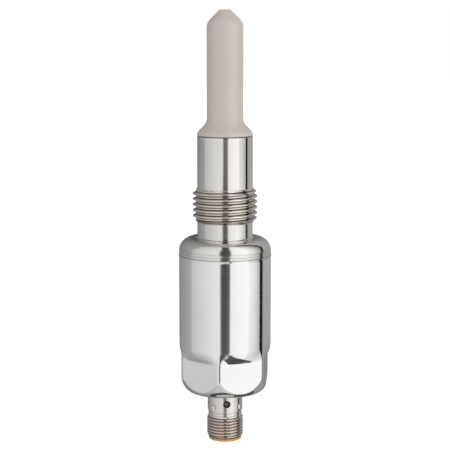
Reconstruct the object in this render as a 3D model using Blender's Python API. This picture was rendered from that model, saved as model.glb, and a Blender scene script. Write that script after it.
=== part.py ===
"""Compact point level sensor: a moulded probe tip in a threaded steel process connection,
a steel housing pressed to a hexagon low down, an M12 plug, and the electronics inside.

Units are metres and +Z points to the probe tip. The origin is on the axis, in the plane of
the flat shoulder that the process seal lies on. Flat number 0 of the housing faces -Y, and
angles round the axis are counted from -Y towards +X.
"""

import math
from collections import namedtuple

import bmesh
import bpy
from mathutils import Matrix, Vector

MM = 0.001

# Clearance kept between neighbouring pieces.
GAP = 0.25 * MM

# Round resolution.
BARREL_SEGMENTS = 36
CONNECTOR_SEGMENTS = 32
SMALL_SEGMENTS = 24
PIN_SEGMENTS = 12
SEAL_SIDES = 6
ARC_STEP = math.radians(22.5)
FLAT_TOLERANCE = math.radians(0.1)

# Process connection from the thread inwards: seal shoulder, neck, process thread and barrel.
NECK_LENGTH = 5.0 * MM
NECK_FILLET = 0.6 * MM
SEAL_FACE_WIDTH = 1.0 * MM
SHOULDER_SKIRT = 1.2 * MM
THREAD_DIAMETER = 20.955 * MM
THREAD_DEPTH = 1.162 * MM
THREAD_PITCH = 1.814 * MM
THREAD_LENGTH = 11.2 * MM
THREAD_CREST_WIDTH = 0.30 * MM
THREAD_SNAP = 0.02 * MM
BARREL_RELIEF = 0.3155 * MM
BARREL_LENGTH = 16.9 * MM
BARREL_EDGE = 0.15 * MM

# Bores in the process connection.
BARREL_WALL = 2.0 * MM
TIP_SEAT_DEPTH = 9.0 * MM
WEB_STEP = 1.55 * MM
WEB_THICKNESS = 3.1 * MM
CAP_ROOF_THICKNESS = 2.6 * MM
CAP_CAVITY_SLOPE = 1.6 * MM
SPIGOT_LENGTH = 4.0 * MM
SPIGOT_WALL = 1.1 * MM

# Probe tip.
TIP_ROD_DIAMETER = 11.7 * MM
TIP_LENGTH = 40.2 * MM
TIP_FLAT_DIAMETER = 3.4 * MM
TIP_EDGE_RADIUS = 1.0 * MM
TIP_CONE_RADIUS = 3.5 * MM
FLARE_LIP_HEIGHT = 0.95 * MM
FLARE_ROOT_RADIUS = 3.9 * MM
FLARE_RIM_RADIUS = 2.2 * MM
TIP_ROOF_THICKNESS = 8.9 * MM
TIP_STUB_WALL = 1.7 * MM
TIP_STUB_PROUD = 4.3 * MM
TIP_SEAL_SECTION = 1.0 * MM
TIP_SEAL_DROP = 3.7 * MM
TIP_NUT_HEIGHT = 3.8 * MM
TIP_NUT_WALL = 1.5 * MM
TIP_NUT_SLOT_WIDTH = 2.0 * MM
TIP_NUT_SLOT_DEPTH = 1.2 * MM

# Housing can: round above, pressed to a hexagon of 27 mm across flats, rounded at the bottom.
HOUSING_DIAMETER = 30.0 * MM
HOUSING_LENGTH = 45.4 * MM
HOUSING_WALL = 3.0 * MM
HOUSING_FLOOR = 2.0 * MM
SEAM_EDGE = 0.3 * MM
FLAT_COUNT = 6
FLAT_DEPTH = 1.5 * MM
FLAT_HEIGHT = 11.6 * MM
FLAT_COLUMNS = 8
FORM_LENGTH = 4.2 * MM
FORM_STEPS = 5
RIDGE_RADIUS = 1.3 * MM
BOTTOM_MARGIN = 3.25 * MM
BOTTOM_SPREAD = 3.05 * MM
BOTTOM_CURVE_HEIGHT = 23.2 * MM
BOTTOM_CURVE_POWER = 1.74
BOTTOM_STEPS = 12
BOTTOM_SEGMENTS = 48
FLOOR_MARGIN = 1.5 * MM
FLOOR_INNER_RISE = 4.9 * MM

# Connector shell of the M12 plug, from the thread inwards.
PLUG_THREAD_DIAMETER = 11.9 * MM
PLUG_THREAD_LENGTH = 6.0 * MM
PLUG_CHAMFER = 0.4 * MM
COLLAR_STEP = 0.2 * MM
COLLAR_LENGTH = 6.74 * MM
RELIEF_DEPTH = 0.25 * MM
RELIEF_LENGTH = 2.4 * MM
SHELL_WALL = 0.55 * MM
SHELL_FLANGE_WIDTH = 1.75 * MM
SHELL_FLANGE_HEIGHT = 1.25 * MM
WINDOW_COUNT = 4
WINDOW_DIAMETER = 2.45 * MM
WINDOW_DROP = 3.84 * MM
WINDOW_ANGLE = math.radians(-16.6)
STAKE_DROP = 5.14 * MM
STAKE_TOOL_DIAMETER = 3.2 * MM
STAKE_DEPTH = 0.28 * MM

# Contact carrier, a translucent moulding that also guides the status light.
CARRIER_RIM_STEP = 0.55 * MM
CARRIER_RIM_HEIGHT = 0.85 * MM
CARRIER_RIM_EDGE = 0.25 * MM
SOCKET_WALL = 0.4 * MM
SOCKET_DEPTH = 9.0 * MM
SOCKET_KEY_WIDTH = 0.9 * MM
SOCKET_KEY_DEPTH = 0.6 * MM
SOCKET_KEY_ANGLE = math.radians(45.0)
LIGHT_GUIDE_DIAMETER = 1.75 * MM
LIGHT_GUIDE_SINK = 0.3 * MM
LED_RECESS_WALL = 0.8 * MM
CARRIER_SEAL_SECTION = 0.7 * MM
CARRIER_SEAL_DROP = 1.9 * MM

# Contact pins.
PIN_COUNT = 4
PIN_DIAMETER = 1.0 * MM
PIN_INSET = 1.65 * MM
PIN_RECESS = 1.4 * MM
PIN_NOSE = 0.25 * MM
PIN_ENTRY = 0.8 * MM

# Electrode train inside the tip.
ELECTRODE_LENGTH = 26.0 * MM
ELECTRODE_EDGE = 0.5 * MM
ELECTRODE_STEM_LENGTH = 22.0 * MM
STEM_CLEARANCE = 0.65 * MM
SLEEVE_WALL = 0.6 * MM
SPRING_WIRE = 0.5 * MM
SPRING_TURNS = 5
SPRING_STEPS = 12
SPRING_LENGTH = 8.9 * MM
SPRING_CONTACT_HEIGHT = 1.0 * MM

# Circuit boards and their carrier.
BOARD_THICKNESS = 1.6 * MM
BOARD_NECK_MARGIN = 0.5 * MM
BOARD_SHOULDER_HEIGHT = 1.4 * MM
CONNECTOR_BOARD_MARGIN = 0.5 * MM
CONNECTOR_BOARD_THICKNESS = 1.0 * MM
BOARD_CARRIER_WALL = 1.5 * MM
BOARD_CARRIER_LEDGE = 1.2 * MM
BOARD_CARRIER_LIP_ANGLE = math.radians(12.0)
BOARD_CARRIER_STEPS = 14
LED_SIZE = 1.1 * MM
LED_HEIGHT = 0.65 * MM
LED_OFFSET = 0.15 * MM

# Parts in rows on the front of the main board.
BoardPart = namedtuple("BoardPart", "name finish width height depth")
PART_SPACING = 0.6 * MM
ROW_SPACING = 1.0 * MM
MEASURING_CHIP = BoardPart("measuring_chip", "chip", 5.0 * MM, 5.0 * MM, 0.9 * MM)
CONTROLLER_CHIP = BoardPart("controller_chip", "chip", 7.0 * MM, 7.0 * MM, 1.0 * MM)
CLOCK_CRYSTAL = BoardPart("clock_crystal", "tin", 3.2 * MM, 2.5 * MM, 0.8 * MM)
CERAMIC_CAPACITOR_1 = BoardPart("ceramic_capacitor_1", "ceramic", 1.2 * MM, 2.0 * MM, 1.2 * MM)
CERAMIC_CAPACITOR_2 = BoardPart("ceramic_capacitor_2", "ceramic", 1.2 * MM, 2.0 * MM, 1.2 * MM)
VOLTAGE_REGULATOR = BoardPart("voltage_regulator", "chip", 6.0 * MM, 3.5 * MM, 1.6 * MM)
POWER_CHOKE = BoardPart("power_choke", "ferrite", 6.0 * MM, 6.0 * MM, 3.0 * MM)
CHIP_EDGE = 0.15 * MM
CAPACITOR_COUNT = 2
CAPACITOR_DIAMETER = 5.0 * MM
CAPACITOR_HEIGHT = 5.4 * MM

# Radii worked out from the sizes above.
thread_crest_r = THREAD_DIAMETER / 2
thread_root_r = thread_crest_r - THREAD_DEPTH
barrel_r = thread_root_r - BARREL_RELIEF
shoulder_r = barrel_r + NECK_FILLET + SEAL_FACE_WIDTH
tip_seat_r = barrel_r - BARREL_WALL
web_hole_r = tip_seat_r - WEB_STEP
lower_bore_r = web_hole_r + TIP_NUT_WALL + GAP
tip_stub_r = web_hole_r - GAP
tip_bore_r = tip_stub_r - TIP_STUB_WALL
electrode_r = tip_bore_r - GAP
sleeve_inner_r = electrode_r - SLEEVE_WALL
stem_r = sleeve_inner_r - STEM_CLEARANCE
housing_r = HOUSING_DIAMETER / 2
flat_r = housing_r - FLAT_DEPTH
bottom_face_r = housing_r - BOTTOM_MARGIN
cavity_r = housing_r - HOUSING_WALL
dome_r = housing_r - shoulder_r
spigot_r = cavity_r - GAP
board_carrier_r = cavity_r - GAP
board_half_width = board_carrier_r - BOARD_CARRIER_WALL - GAP
board_neck_half_width = lower_bore_r - BOARD_NECK_MARGIN
plug_r = PLUG_THREAD_DIAMETER / 2
collar_r = plug_r - COLLAR_STEP
relief_r = collar_r - RELIEF_DEPTH
shell_bore_r = relief_r - SHELL_WALL
flange_r = collar_r + SHELL_FLANGE_WIDTH
floor_disc_r = flange_r + FLOOR_MARGIN
connector_board_r = flange_r + CONNECTOR_BOARD_MARGIN
carrier_r = shell_bore_r - GAP
carrier_rim_r = plug_r - CARRIER_RIM_STEP
socket_r = carrier_r - SOCKET_WALL
led_recess_r = carrier_r - LED_RECESS_WALL
pin_circle_r = socket_r - PIN_INSET
led_circle_r = pin_circle_r + LED_OFFSET

# Heights worked out from the sizes above, with the seal shoulder at zero.
thread_bottom = NECK_LENGTH
thread_top = thread_bottom + THREAD_LENGTH
joint = thread_top + BARREL_LENGTH
tip_end = joint + TIP_LENGTH
seam = -(dome_r + SHOULDER_SKIRT)
cap_bottom = seam + GAP / 2
can_top = seam - GAP / 2
spigot_bottom = seam - SPIGOT_LENGTH
can_bottom = seam - HOUSING_LENGTH
can_floor = can_bottom + HOUSING_FLOOR
flat_top = can_bottom + FLAT_HEIGHT
form_top = flat_top + FORM_LENGTH
flange_bottom = can_floor + GAP
flange_top = flange_bottom + SHELL_FLANGE_HEIGHT
led_recess_floor = flange_top - LED_HEIGHT - GAP
collar_bottom = can_bottom - COLLAR_LENGTH
relief_bottom = collar_bottom - RELIEF_LENGTH
shell_end = relief_bottom - PLUG_THREAD_LENGTH - PLUG_CHAMFER
window_height = can_bottom - WINDOW_DROP
rim_top = shell_end - GAP
rim_bottom = rim_top - CARRIER_RIM_HEIGHT
socket_floor = rim_bottom + SOCKET_DEPTH
web_top = joint - TIP_SEAT_DEPTH
web_bottom = web_top - WEB_THICKNESS
tip_stub_bottom = web_bottom - TIP_STUB_PROUD
bore_roof = tip_end - TIP_ROOF_THICKNESS
electrode_top = bore_roof - GAP
electrode_bottom = electrode_top - ELECTRODE_LENGTH
stem_bottom = electrode_bottom - ELECTRODE_STEM_LENGTH
spring_bottom = stem_bottom - GAP - SPRING_LENGTH
contact_top = spring_bottom - GAP
contact_bottom = contact_top - SPRING_CONTACT_HEIGHT
connector_board_bottom = flange_top + GAP
connector_board_top = connector_board_bottom + CONNECTOR_BOARD_THICKNESS
main_board_bottom = connector_board_top + GAP
main_board_top = contact_bottom - GAP
board_carrier_top = spigot_bottom - GAP
board_carrier_bottom = can_floor + FLOOR_INNER_RISE + GAP


def clear_scene():
    for obj in list(bpy.data.objects):
        bpy.data.objects.remove(obj, do_unlink=True)


def principled(name, color, roughness, metallic):
    """One Principled material with a plain colour."""
    mat = bpy.data.materials.new(name)
    mat.use_nodes = True
    shader = mat.node_tree.nodes["Principled BSDF"]
    shader.inputs["Base Color"].default_value = (*color, 1.0)
    shader.inputs["Roughness"].default_value = roughness
    shader.inputs["Metallic"].default_value = metallic
    mat.diffuse_color = (*color, 1.0)
    return mat


def make_materials():
    return {
        "steel": principled("turned_steel", (0.62, 0.61, 0.59), 0.28, 1.0),
        "polished": principled("polished_steel", (0.68, 0.67, 0.66), 0.12, 1.0),
        "peek": principled("tip_plastic", (0.50, 0.45, 0.41), 0.42, 0.0),
        "amber": principled("amber_plastic", (0.55, 0.26, 0.05), 0.2, 0.0),
        "gold": principled("gold_plate", (0.83, 0.62, 0.26), 0.2, 1.0),
        "brass": principled("brass", (0.70, 0.52, 0.25), 0.3, 1.0),
        "rubber": principled("seal_rubber", (0.02, 0.02, 0.02), 0.6, 0.0),
        "white": principled("insulator", (0.75, 0.75, 0.72), 0.5, 0.0),
        "board": principled("circuit_board", (0.03, 0.20, 0.09), 0.45, 0.0),
        "carrier": principled("board_carrier_plastic", (0.05, 0.05, 0.055), 0.5, 0.0),
        "chip": principled("chip_black", (0.02, 0.02, 0.022), 0.5, 0.0),
        "tin": principled("tinned_metal", (0.72, 0.72, 0.70), 0.3, 1.0),
        "ferrite": principled("ferrite", (0.10, 0.10, 0.11), 0.6, 0.0),
        "ceramic": principled("ceramic_tan", (0.55, 0.42, 0.28), 0.5, 0.0),
        "led": principled("led_lens", (0.60, 0.75, 0.35), 0.25, 0.0),
    }


def around(angle, radius, height=0.0):
    """A point at an angle counted from -Y towards +X."""
    return Vector((radius * math.sin(angle), -radius * math.cos(angle), height))


def finish_mesh(name, bm, mat, sharp_angle=math.radians(35.0)):
    """Turn a bmesh into a named object with smooth round faces and crisp edges."""
    bmesh.ops.recalc_face_normals(bm, faces=bm.faces)
    mesh = bpy.data.meshes.new(name)
    bm.to_mesh(mesh)
    bm.free()
    mesh.shade_smooth()
    mesh.set_sharp_from_angle(angle=sharp_angle)
    mesh.materials.append(mat)
    obj = bpy.data.objects.new(name, mesh)
    bpy.context.scene.collection.objects.link(obj)
    return obj


def fillet_shares(corners, insets):
    """Share of each corner's fillet that its two edges leave room for."""
    shares = [1.0] * len(corners)
    for index in range(len(corners)):
        after = (index + 1) % len(corners)
        wanted = insets[index] + insets[after]
        edge = math.dist(corners[index][:2], corners[after][:2])
        if wanted > edge:
            shares[index] = min(shares[index], edge / wanted)
            shares[after] = min(shares[after], edge / wanted)
    return shares


def rounded(corners):
    """Profile points from corners (radius, height) or (radius, height, fillet)."""
    spokes = []
    insets = []
    for index, corner in enumerate(corners):
        here = Vector(corner[:2])
        before = (Vector(corners[index - 1][:2]) - here).normalized()
        after = (Vector(corners[(index + 1) % len(corners)][:2]) - here).normalized()
        half_angle = before.angle(after) / 2
        fillet = corner[2] if len(corner) == 3 else 0.0
        spokes.append((here, before, after, half_angle))
        insets.append(fillet / math.tan(half_angle))
    points = []
    shares = fillet_shares(corners, insets)
    for (here, before, after, half_angle), wanted, share in zip(spokes, insets, shares):
        inset = wanted * share
        if inset == 0.0:
            points.append(tuple(here))
            continue
        centre = here + (before + after).normalized() * (inset / math.cos(half_angle))
        start = here + before * inset - centre
        turn = start.angle_signed(here + after * inset - centre)
        steps = max(2, math.ceil(abs(turn) / ARC_STEP))
        for step in range(steps + 1):
            spoke = start.copy()
            spoke.rotate(Matrix.Rotation(-turn * step / steps, 2))
            points.append(tuple(centre + spoke))
    return points


def ring(bm, radius, height, segments):
    """A circle of vertices, or the single vertex where the profile meets the axis."""
    if radius == 0.0:
        return [bm.verts.new((0.0, 0.0, height))]
    return [bm.verts.new(around(math.tau * i / segments, radius, height)) for i in range(segments)]


def bridge(bm, lower, upper):
    """Faces between two rings, either of which may be a single vertex."""
    count = max(len(lower), len(upper))
    for i in range(count):
        j = (i + 1) % count
        lower_pair = [lower[i % len(lower)], lower[j % len(lower)]]
        upper_pair = [upper[j % len(upper)], upper[i % len(upper)]]
        bm.faces.new(list(dict.fromkeys(lower_pair + upper_pair)))


def turned(bm, profile, segments, closed=True):
    """Revolve a profile round the axis and return its rings."""
    rings = [ring(bm, radius, height, segments) for radius, height in profile]
    for first, second in zip(rings, rings[1:]):
        bridge(bm, first, second)
    if closed and len(rings[0]) > 1:
        bridge(bm, rings[-1], rings[0])
    return rings


def turned_part(name, corners, segments, mat):
    bm = bmesh.new()
    turned(bm, rounded(corners), segments)
    return finish_mesh(name, bm, mat)


def cylinder_mesh(bm, radius, length, segments, matrix):
    bmesh.ops.create_cone(
        bm, cap_ends=True, segments=segments, radius1=radius, radius2=radius, depth=length, matrix=matrix
    )


def add_boolean(obj, cutter, operation="DIFFERENCE"):
    """Cut or join with a helper object that stays out of the render."""
    cutter.hide_render = True
    cutter.display_type = "WIRE"
    modifier = obj.modifiers.new(cutter.name, "BOOLEAN")
    modifier.object = cutter
    modifier.operation = operation
    modifier.solver = "EXACT"


def facing(angle, radius, height):
    """Matrix that turns a shape's +Z outwards at a place round the axis."""
    turn = Matrix.Rotation(angle, 4, "Z") @ Matrix.Rotation(math.pi / 2, 4, "X")
    return Matrix.Translation(around(angle, radius, height)) @ turn


def thread_radius(height, phase):
    """Radius of the process thread, with its flanks cut back by a chamfer at both ends."""
    nearest_end = min(height - thread_bottom, thread_top - height)
    profile = thread_crest_r if phase in ("crest start", "crest end") else thread_root_r
    return max(barrel_r, min(profile, barrel_r + nearest_end))


def thread_rows():
    """Rows of one pitch: share of the pitch and the place on the profile."""
    crest = THREAD_CREST_WIDTH / THREAD_PITCH
    flank = (1.0 - 2 * crest) / 2
    return (
        (0.0, "root start"),
        (crest, "root end"),
        (crest + flank, "crest start"),
        (2 * crest + flank, "crest end"),
    )


def cut_thread(bm, top_ring, bottom_ring):
    """Right-hand helical surface between two plain rings of the barrel."""
    segments = len(bottom_ring)
    rows = thread_rows()
    turns = math.ceil(THREAD_LENGTH / THREAD_PITCH) + 2
    made = {}

    def vertex(column, row):
        share, phase = rows[row % len(rows)]
        height = thread_bottom + THREAD_PITCH * (row // len(rows) + share + column / segments - 1.0)
        slot = column % segments
        if height < thread_bottom + THREAD_SNAP:
            return bottom_ring[slot]
        if height > thread_top - THREAD_SNAP:
            return top_ring[slot]
        key = (slot, row + len(rows) * (column // segments))
        if key not in made:
            radius = thread_radius(height, phase)
            made[key] = bm.verts.new(around(math.tau * slot / segments, radius, height))
        return made[key]

    for column in range(segments):
        for row in range(turns * len(rows)):
            corners = [
                vertex(column, row),
                vertex(column + 1, row),
                vertex(column + 1, row + 1),
                vertex(column, row + 1),
            ]
            corners = list(dict.fromkeys(corners))
            if len(corners) > 2:
                bm.faces.new(corners)


def make_process_connection(mats):
    """Barrel, thread, neck, seal shoulder and domed cap, turned from one bar and bored through."""
    above = [
        (barrel_r, thread_top),
        (barrel_r, joint - GAP / 2, BARREL_EDGE),
        (tip_seat_r, joint - GAP / 2),
        (tip_seat_r, web_top),
        (web_hole_r, web_top),
        (web_hole_r, web_bottom),
        (lower_bore_r, web_bottom),
        (lower_bore_r, -CAP_ROOF_THICKNESS),
        (spigot_r - SPIGOT_WALL, -CAP_ROOF_THICKNESS - CAP_CAVITY_SLOPE),
        (spigot_r - SPIGOT_WALL, spigot_bottom),
        (spigot_r, spigot_bottom),
        (spigot_r, cap_bottom),
        (housing_r, cap_bottom, SEAM_EDGE),
        (housing_r, 0.0, dome_r),
        (barrel_r, 0.0, NECK_FILLET),
        (barrel_r, thread_bottom),
    ]
    bm = bmesh.new()
    rings = turned(bm, rounded(above), BARREL_SEGMENTS, closed=False)
    cut_thread(bm, rings[0], rings[-1])
    return finish_mesh("process_connection", bm, mats["steel"])


def make_probe_tip(mats):
    """Moulded tip with a blunt cone, a flared foot and a stub that passes the web."""
    rod_r = TIP_ROD_DIAMETER / 2
    end_r = TIP_FLAT_DIAMETER / 2
    foot = joint + GAP / 2
    flare_bottom = foot + FLARE_LIP_HEIGHT
    flare_top = flare_bottom + barrel_r - rod_r
    spigot = tip_seat_r - GAP
    seal_centre = joint - TIP_SEAL_DROP
    groove_half = TIP_SEAL_SECTION / 2 + GAP
    groove_r = spigot - TIP_SEAL_SECTION - GAP
    corners = [
        (0.0, tip_end),
        (end_r, tip_end, TIP_EDGE_RADIUS),
        (rod_r, tip_end - (rod_r - end_r), TIP_CONE_RADIUS),
        (rod_r, flare_top, FLARE_ROOT_RADIUS),
        (barrel_r, flare_bottom, FLARE_RIM_RADIUS),
        (barrel_r, foot),
        (spigot, foot),
        (spigot, seal_centre + groove_half),
        (groove_r, seal_centre + groove_half),
        (groove_r, seal_centre - groove_half),
        (spigot, seal_centre - groove_half),
        (spigot, web_top + GAP),
        (tip_stub_r, web_top + GAP),
        (tip_stub_r, tip_stub_bottom),
        (tip_bore_r, tip_stub_bottom),
        (tip_bore_r, bore_roof),
        (0.0, bore_roof),
    ]
    return turned_part("probe_tip", corners, BARREL_SEGMENTS, mats["peek"])


def make_tip_nut(mats):
    """Slotted ring nut that draws the tip down from inside."""
    top = web_bottom - GAP
    bottom = top - TIP_NUT_HEIGHT
    outer = lower_bore_r - GAP
    inner = web_hole_r
    corners = [(inner, bottom), (outer, bottom), (outer, top), (inner, top)]
    nut = turned_part("tip_nut", corners, SMALL_SEGMENTS, mats["brass"])
    bm = bmesh.new()
    slot = Matrix.Diagonal((TIP_NUT_SLOT_WIDTH, 4 * lower_bore_r, 2 * TIP_NUT_SLOT_DEPTH, 1.0))
    bmesh.ops.create_cube(bm, size=1.0, matrix=Matrix.Translation((0.0, 0.0, bottom)) @ slot)
    add_boolean(nut, finish_mesh("nut_slot_cutter", bm, mats["brass"]))
    return nut


def make_seal(name, section, centre_r, height, mats):
    """O-ring of round section."""
    section_r = section / 2
    profile = []
    for i in range(SEAL_SIDES):
        angle = math.tau * i / SEAL_SIDES
        profile.append((centre_r + section_r * math.cos(angle), height + section_r * math.sin(angle)))
    return turned_part(name, profile, SMALL_SEGMENTS, mats["rubber"])


def hexagon_radius(angle):
    """Radius of the hexagon with rounded ridges, at an angle from the axis of a flat."""
    half_sector = math.pi / FLAT_COUNT
    if flat_r * math.tan(abs(angle)) <= (flat_r - RIDGE_RADIUS) * math.tan(half_sector):
        return flat_r / math.cos(angle)
    centre = (flat_r - RIDGE_RADIUS) / math.cos(half_sector)
    away = half_sector - abs(angle)
    return centre * math.cos(away) + math.sqrt(RIDGE_RADIUS**2 - (centre * math.sin(away)) ** 2)


def can_columns():
    """Columns round the can: the axis of their flat and the angle from it, with one on each ridge."""
    half_sector = math.pi / FLAT_COUNT
    flat_end = math.atan((flat_r - RIDGE_RADIUS) * math.tan(half_sector) / flat_r)
    columns = []
    for index in range(FLAT_COUNT):
        axis = math.tau * index / FLAT_COUNT
        columns.append((axis, -half_sector))
        columns.append((axis, -(half_sector + flat_end) / 2))
        for step in range(FLAT_COLUMNS + 1):
            columns.append((axis, flat_end * (2 * step / FLAT_COLUMNS - 1)))
        columns.append((axis, (half_sector + flat_end) / 2))
    return columns


def can_ring(bm, radius, height, share=0.0):
    """A ring of the can, round or a share of the way to the hexagon."""
    verts = []
    for axis, angle in can_columns():
        formed = radius + (hexagon_radius(angle) - radius) * share
        verts.append(bm.verts.new(around(axis + angle, formed, height)))
    return verts


def make_housing_can(mats):
    """Deep can, round above, pressed to a hexagon below over a curved step, rounded at the bottom."""
    bm = bmesh.new()
    edge = rounded([(cavity_r, can_top), (housing_r, can_top, SEAM_EDGE), (housing_r, can_bottom)])[1:-1]
    rings = [can_ring(bm, radius, height) for radius, height in edge]
    step_r = (FLAT_DEPTH**2 + FORM_LENGTH**2) / (2 * FLAT_DEPTH)
    for step in range(FORM_STEPS + 1):
        down = FORM_LENGTH * step / FORM_STEPS
        pressed = step_r - math.sqrt(step_r**2 - down**2)
        rings.append(can_ring(bm, housing_r, form_top - down, pressed / FLAT_DEPTH))
    flats_end = len(rings)
    rings.append(can_ring(bm, housing_r, can_bottom, 1.0))
    inside = [
        (collar_r + GAP, can_bottom),
        (collar_r + GAP, can_floor),
        (floor_disc_r, can_floor),
        (cavity_r, can_floor + FLOOR_INNER_RISE),
        (cavity_r, can_top),
    ]
    rings += [can_ring(bm, radius, height) for radius, height in inside]
    for first, second in zip(rings, rings[1:] + rings[:1]):
        bridge(bm, first, second)
    join_strips(bm, rings[flats_end - 1], rings[flats_end])
    can = finish_mesh("housing_can", bm, mats["polished"])
    add_boolean(can, make_bottom_cutter(mats))
    return can


def join_strips(bm, upper, lower):
    """Make one face of the strips of each flat between two rings."""
    bm.normal_update()
    edges = [bm.edges.get(pair) for pair in zip(upper, lower)]
    flat = [edge for edge in edges if edge.calc_face_angle() < FLAT_TOLERANCE]
    bmesh.ops.dissolve_edges(bm, edges=flat)


def make_bottom_cutter(mats):
    """Turned cutter that leaves the can's bottom rounded along a superellipse."""
    width = BOTTOM_MARGIN + BOTTOM_SPREAD
    power = 2 / BOTTOM_CURVE_POWER
    profile = []
    for step in range(BOTTOM_STEPS + 1):
        angle = math.pi / 2 * step / BOTTOM_STEPS
        radius = bottom_face_r + width * max(0.0, math.cos(angle)) ** power
        height = can_bottom + BOTTOM_CURVE_HEIGHT * (1 - math.sin(angle) ** power)
        profile.append((radius, height))
    below = can_bottom - HOUSING_FLOOR
    outside = 2 * housing_r
    profile += [(bottom_face_r, below), (outside, below), (outside, profile[0][1])]
    bm = bmesh.new()
    turned(bm, profile, BOTTOM_SEGMENTS)
    # Half a step round, so that no corner of the cutter lies on the middle of a flat.
    bm.transform(Matrix.Rotation(math.pi / BOTTOM_SEGMENTS, 4, "Z"))
    return finish_mesh("bottom_cutter", bm, mats["polished"])


def make_connector_shell(mats):
    """Flanged shell of the plug: collar with light windows and stakes, relief and thread zone."""
    corners = [
        (shell_bore_r, flange_top),
        (flange_r, flange_top),
        (flange_r, flange_bottom),
        (collar_r, flange_bottom),
        (collar_r, collar_bottom),
        (relief_r, collar_bottom),
        (relief_r, relief_bottom),
        (plug_r, relief_bottom),
        (plug_r, shell_end + PLUG_CHAMFER),
        (plug_r - PLUG_CHAMFER, shell_end),
        (shell_bore_r, shell_end),
    ]
    shell = turned_part("connector_shell", corners, CONNECTOR_SEGMENTS, mats["steel"])
    windows = bmesh.new()
    stakes = bmesh.new()
    tool_r = STAKE_TOOL_DIAMETER / 2
    for index in range(WINDOW_COUNT):
        angle = WINDOW_ANGLE + math.tau * index / WINDOW_COUNT
        place = facing(angle, collar_r, window_height)
        cylinder_mesh(windows, WINDOW_DIAMETER / 2, collar_r, PIN_SEGMENTS, place)
        angle += math.pi / WINDOW_COUNT
        place = facing(angle, collar_r + tool_r - STAKE_DEPTH, can_bottom - STAKE_DROP)
        bmesh.ops.create_uvsphere(
            stakes, u_segments=PIN_SEGMENTS, v_segments=PIN_SEGMENTS, radius=tool_r, matrix=place
        )
    add_boolean(shell, finish_mesh("window_cutter", windows, mats["steel"]))
    add_boolean(shell, finish_mesh("stake_cutter", stakes, mats["steel"]))
    return shell


def make_light_guides(mats):
    """Tool for the carrier's four stubs, which end inside the windows of the collar."""
    root = socket_r + SOCKET_WALL / 2
    length = collar_r - LIGHT_GUIDE_SINK - root
    bm = bmesh.new()
    for index in range(WINDOW_COUNT):
        angle = WINDOW_ANGLE + math.tau * index / WINDOW_COUNT
        place = facing(angle, root + length / 2, window_height)
        cylinder_mesh(bm, LIGHT_GUIDE_DIAMETER / 2, length, PIN_SEGMENTS, place)
    return finish_mesh("light_guide_tool", bm, mats["amber"])


def make_contact_carrier(mats):
    """Moulded in place: the plug's socket below, a seal groove, light guides and the LED recess."""
    seal_centre = flange_top - CARRIER_SEAL_DROP
    groove_half = CARRIER_SEAL_SECTION / 2 + GAP
    groove_r = carrier_r - CARRIER_SEAL_SECTION - GAP
    corners = [
        (0.0, led_recess_floor),
        (led_recess_r, led_recess_floor),
        (led_recess_r, flange_top),
        (carrier_r, flange_top),
        (carrier_r, seal_centre + groove_half),
        (groove_r, seal_centre + groove_half),
        (groove_r, seal_centre - groove_half),
        (carrier_r, seal_centre - groove_half),
        (carrier_r, rim_top),
        (carrier_rim_r, rim_top),
        (carrier_rim_r, rim_bottom, CARRIER_RIM_EDGE),
        (socket_r, rim_bottom),
        (socket_r, socket_floor),
        (0.0, socket_floor),
    ]
    carrier = turned_part("contact_carrier", corners, CONNECTOR_SEGMENTS, mats["amber"])
    sunk = SOCKET_WALL / 2
    key_length = SOCKET_DEPTH - CARRIER_RIM_EDGE
    key_size = Matrix.Diagonal((SOCKET_KEY_WIDTH, SOCKET_KEY_DEPTH + sunk, key_length, 1.0))
    key_r = socket_r + (sunk - SOCKET_KEY_DEPTH) / 2
    key_place = Matrix.Translation(around(SOCKET_KEY_ANGLE, key_r, socket_floor + sunk - key_length / 2))
    bm = bmesh.new()
    turn = Matrix.Rotation(SOCKET_KEY_ANGLE, 4, "Z")
    bmesh.ops.create_cube(bm, size=1.0, matrix=key_place @ turn @ key_size)
    add_boolean(carrier, finish_mesh("socket_key_tool", bm, mats["amber"]), "UNION")
    add_boolean(carrier, make_light_guides(mats), "UNION")
    add_boolean(carrier, pin_hole_cutter("pin_hole_cutter", flange_top, 4 * SOCKET_DEPTH, mats))
    return carrier


def pin_hole_cutter(name, height, length, mats):
    """Cutter for the holes that the contact pins pass through."""
    bm = bmesh.new()
    for index in range(PIN_COUNT):
        place = Matrix.Translation(around(math.tau * index / PIN_COUNT, pin_circle_r, height))
        cylinder_mesh(bm, PIN_DIAMETER / 2 + GAP, length, PIN_SEGMENTS, place)
    return finish_mesh(name, bm, mats["amber"])


def make_pins(mats):
    pin_r = PIN_DIAMETER / 2
    bottom = rim_bottom + PIN_RECESS
    top = connector_board_bottom + PIN_ENTRY
    nose = [(0.0, bottom), (pin_r - PIN_NOSE, bottom), (pin_r, bottom + PIN_NOSE)]
    profile = nose + [(pin_r, top), (0.0, top)]
    for index in range(PIN_COUNT):
        pin = turned_part(f"contact_pin_{index + 1}", profile, PIN_SEGMENTS, mats["gold"])
        pin.location = around(math.tau * index / PIN_COUNT, pin_circle_r)


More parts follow.
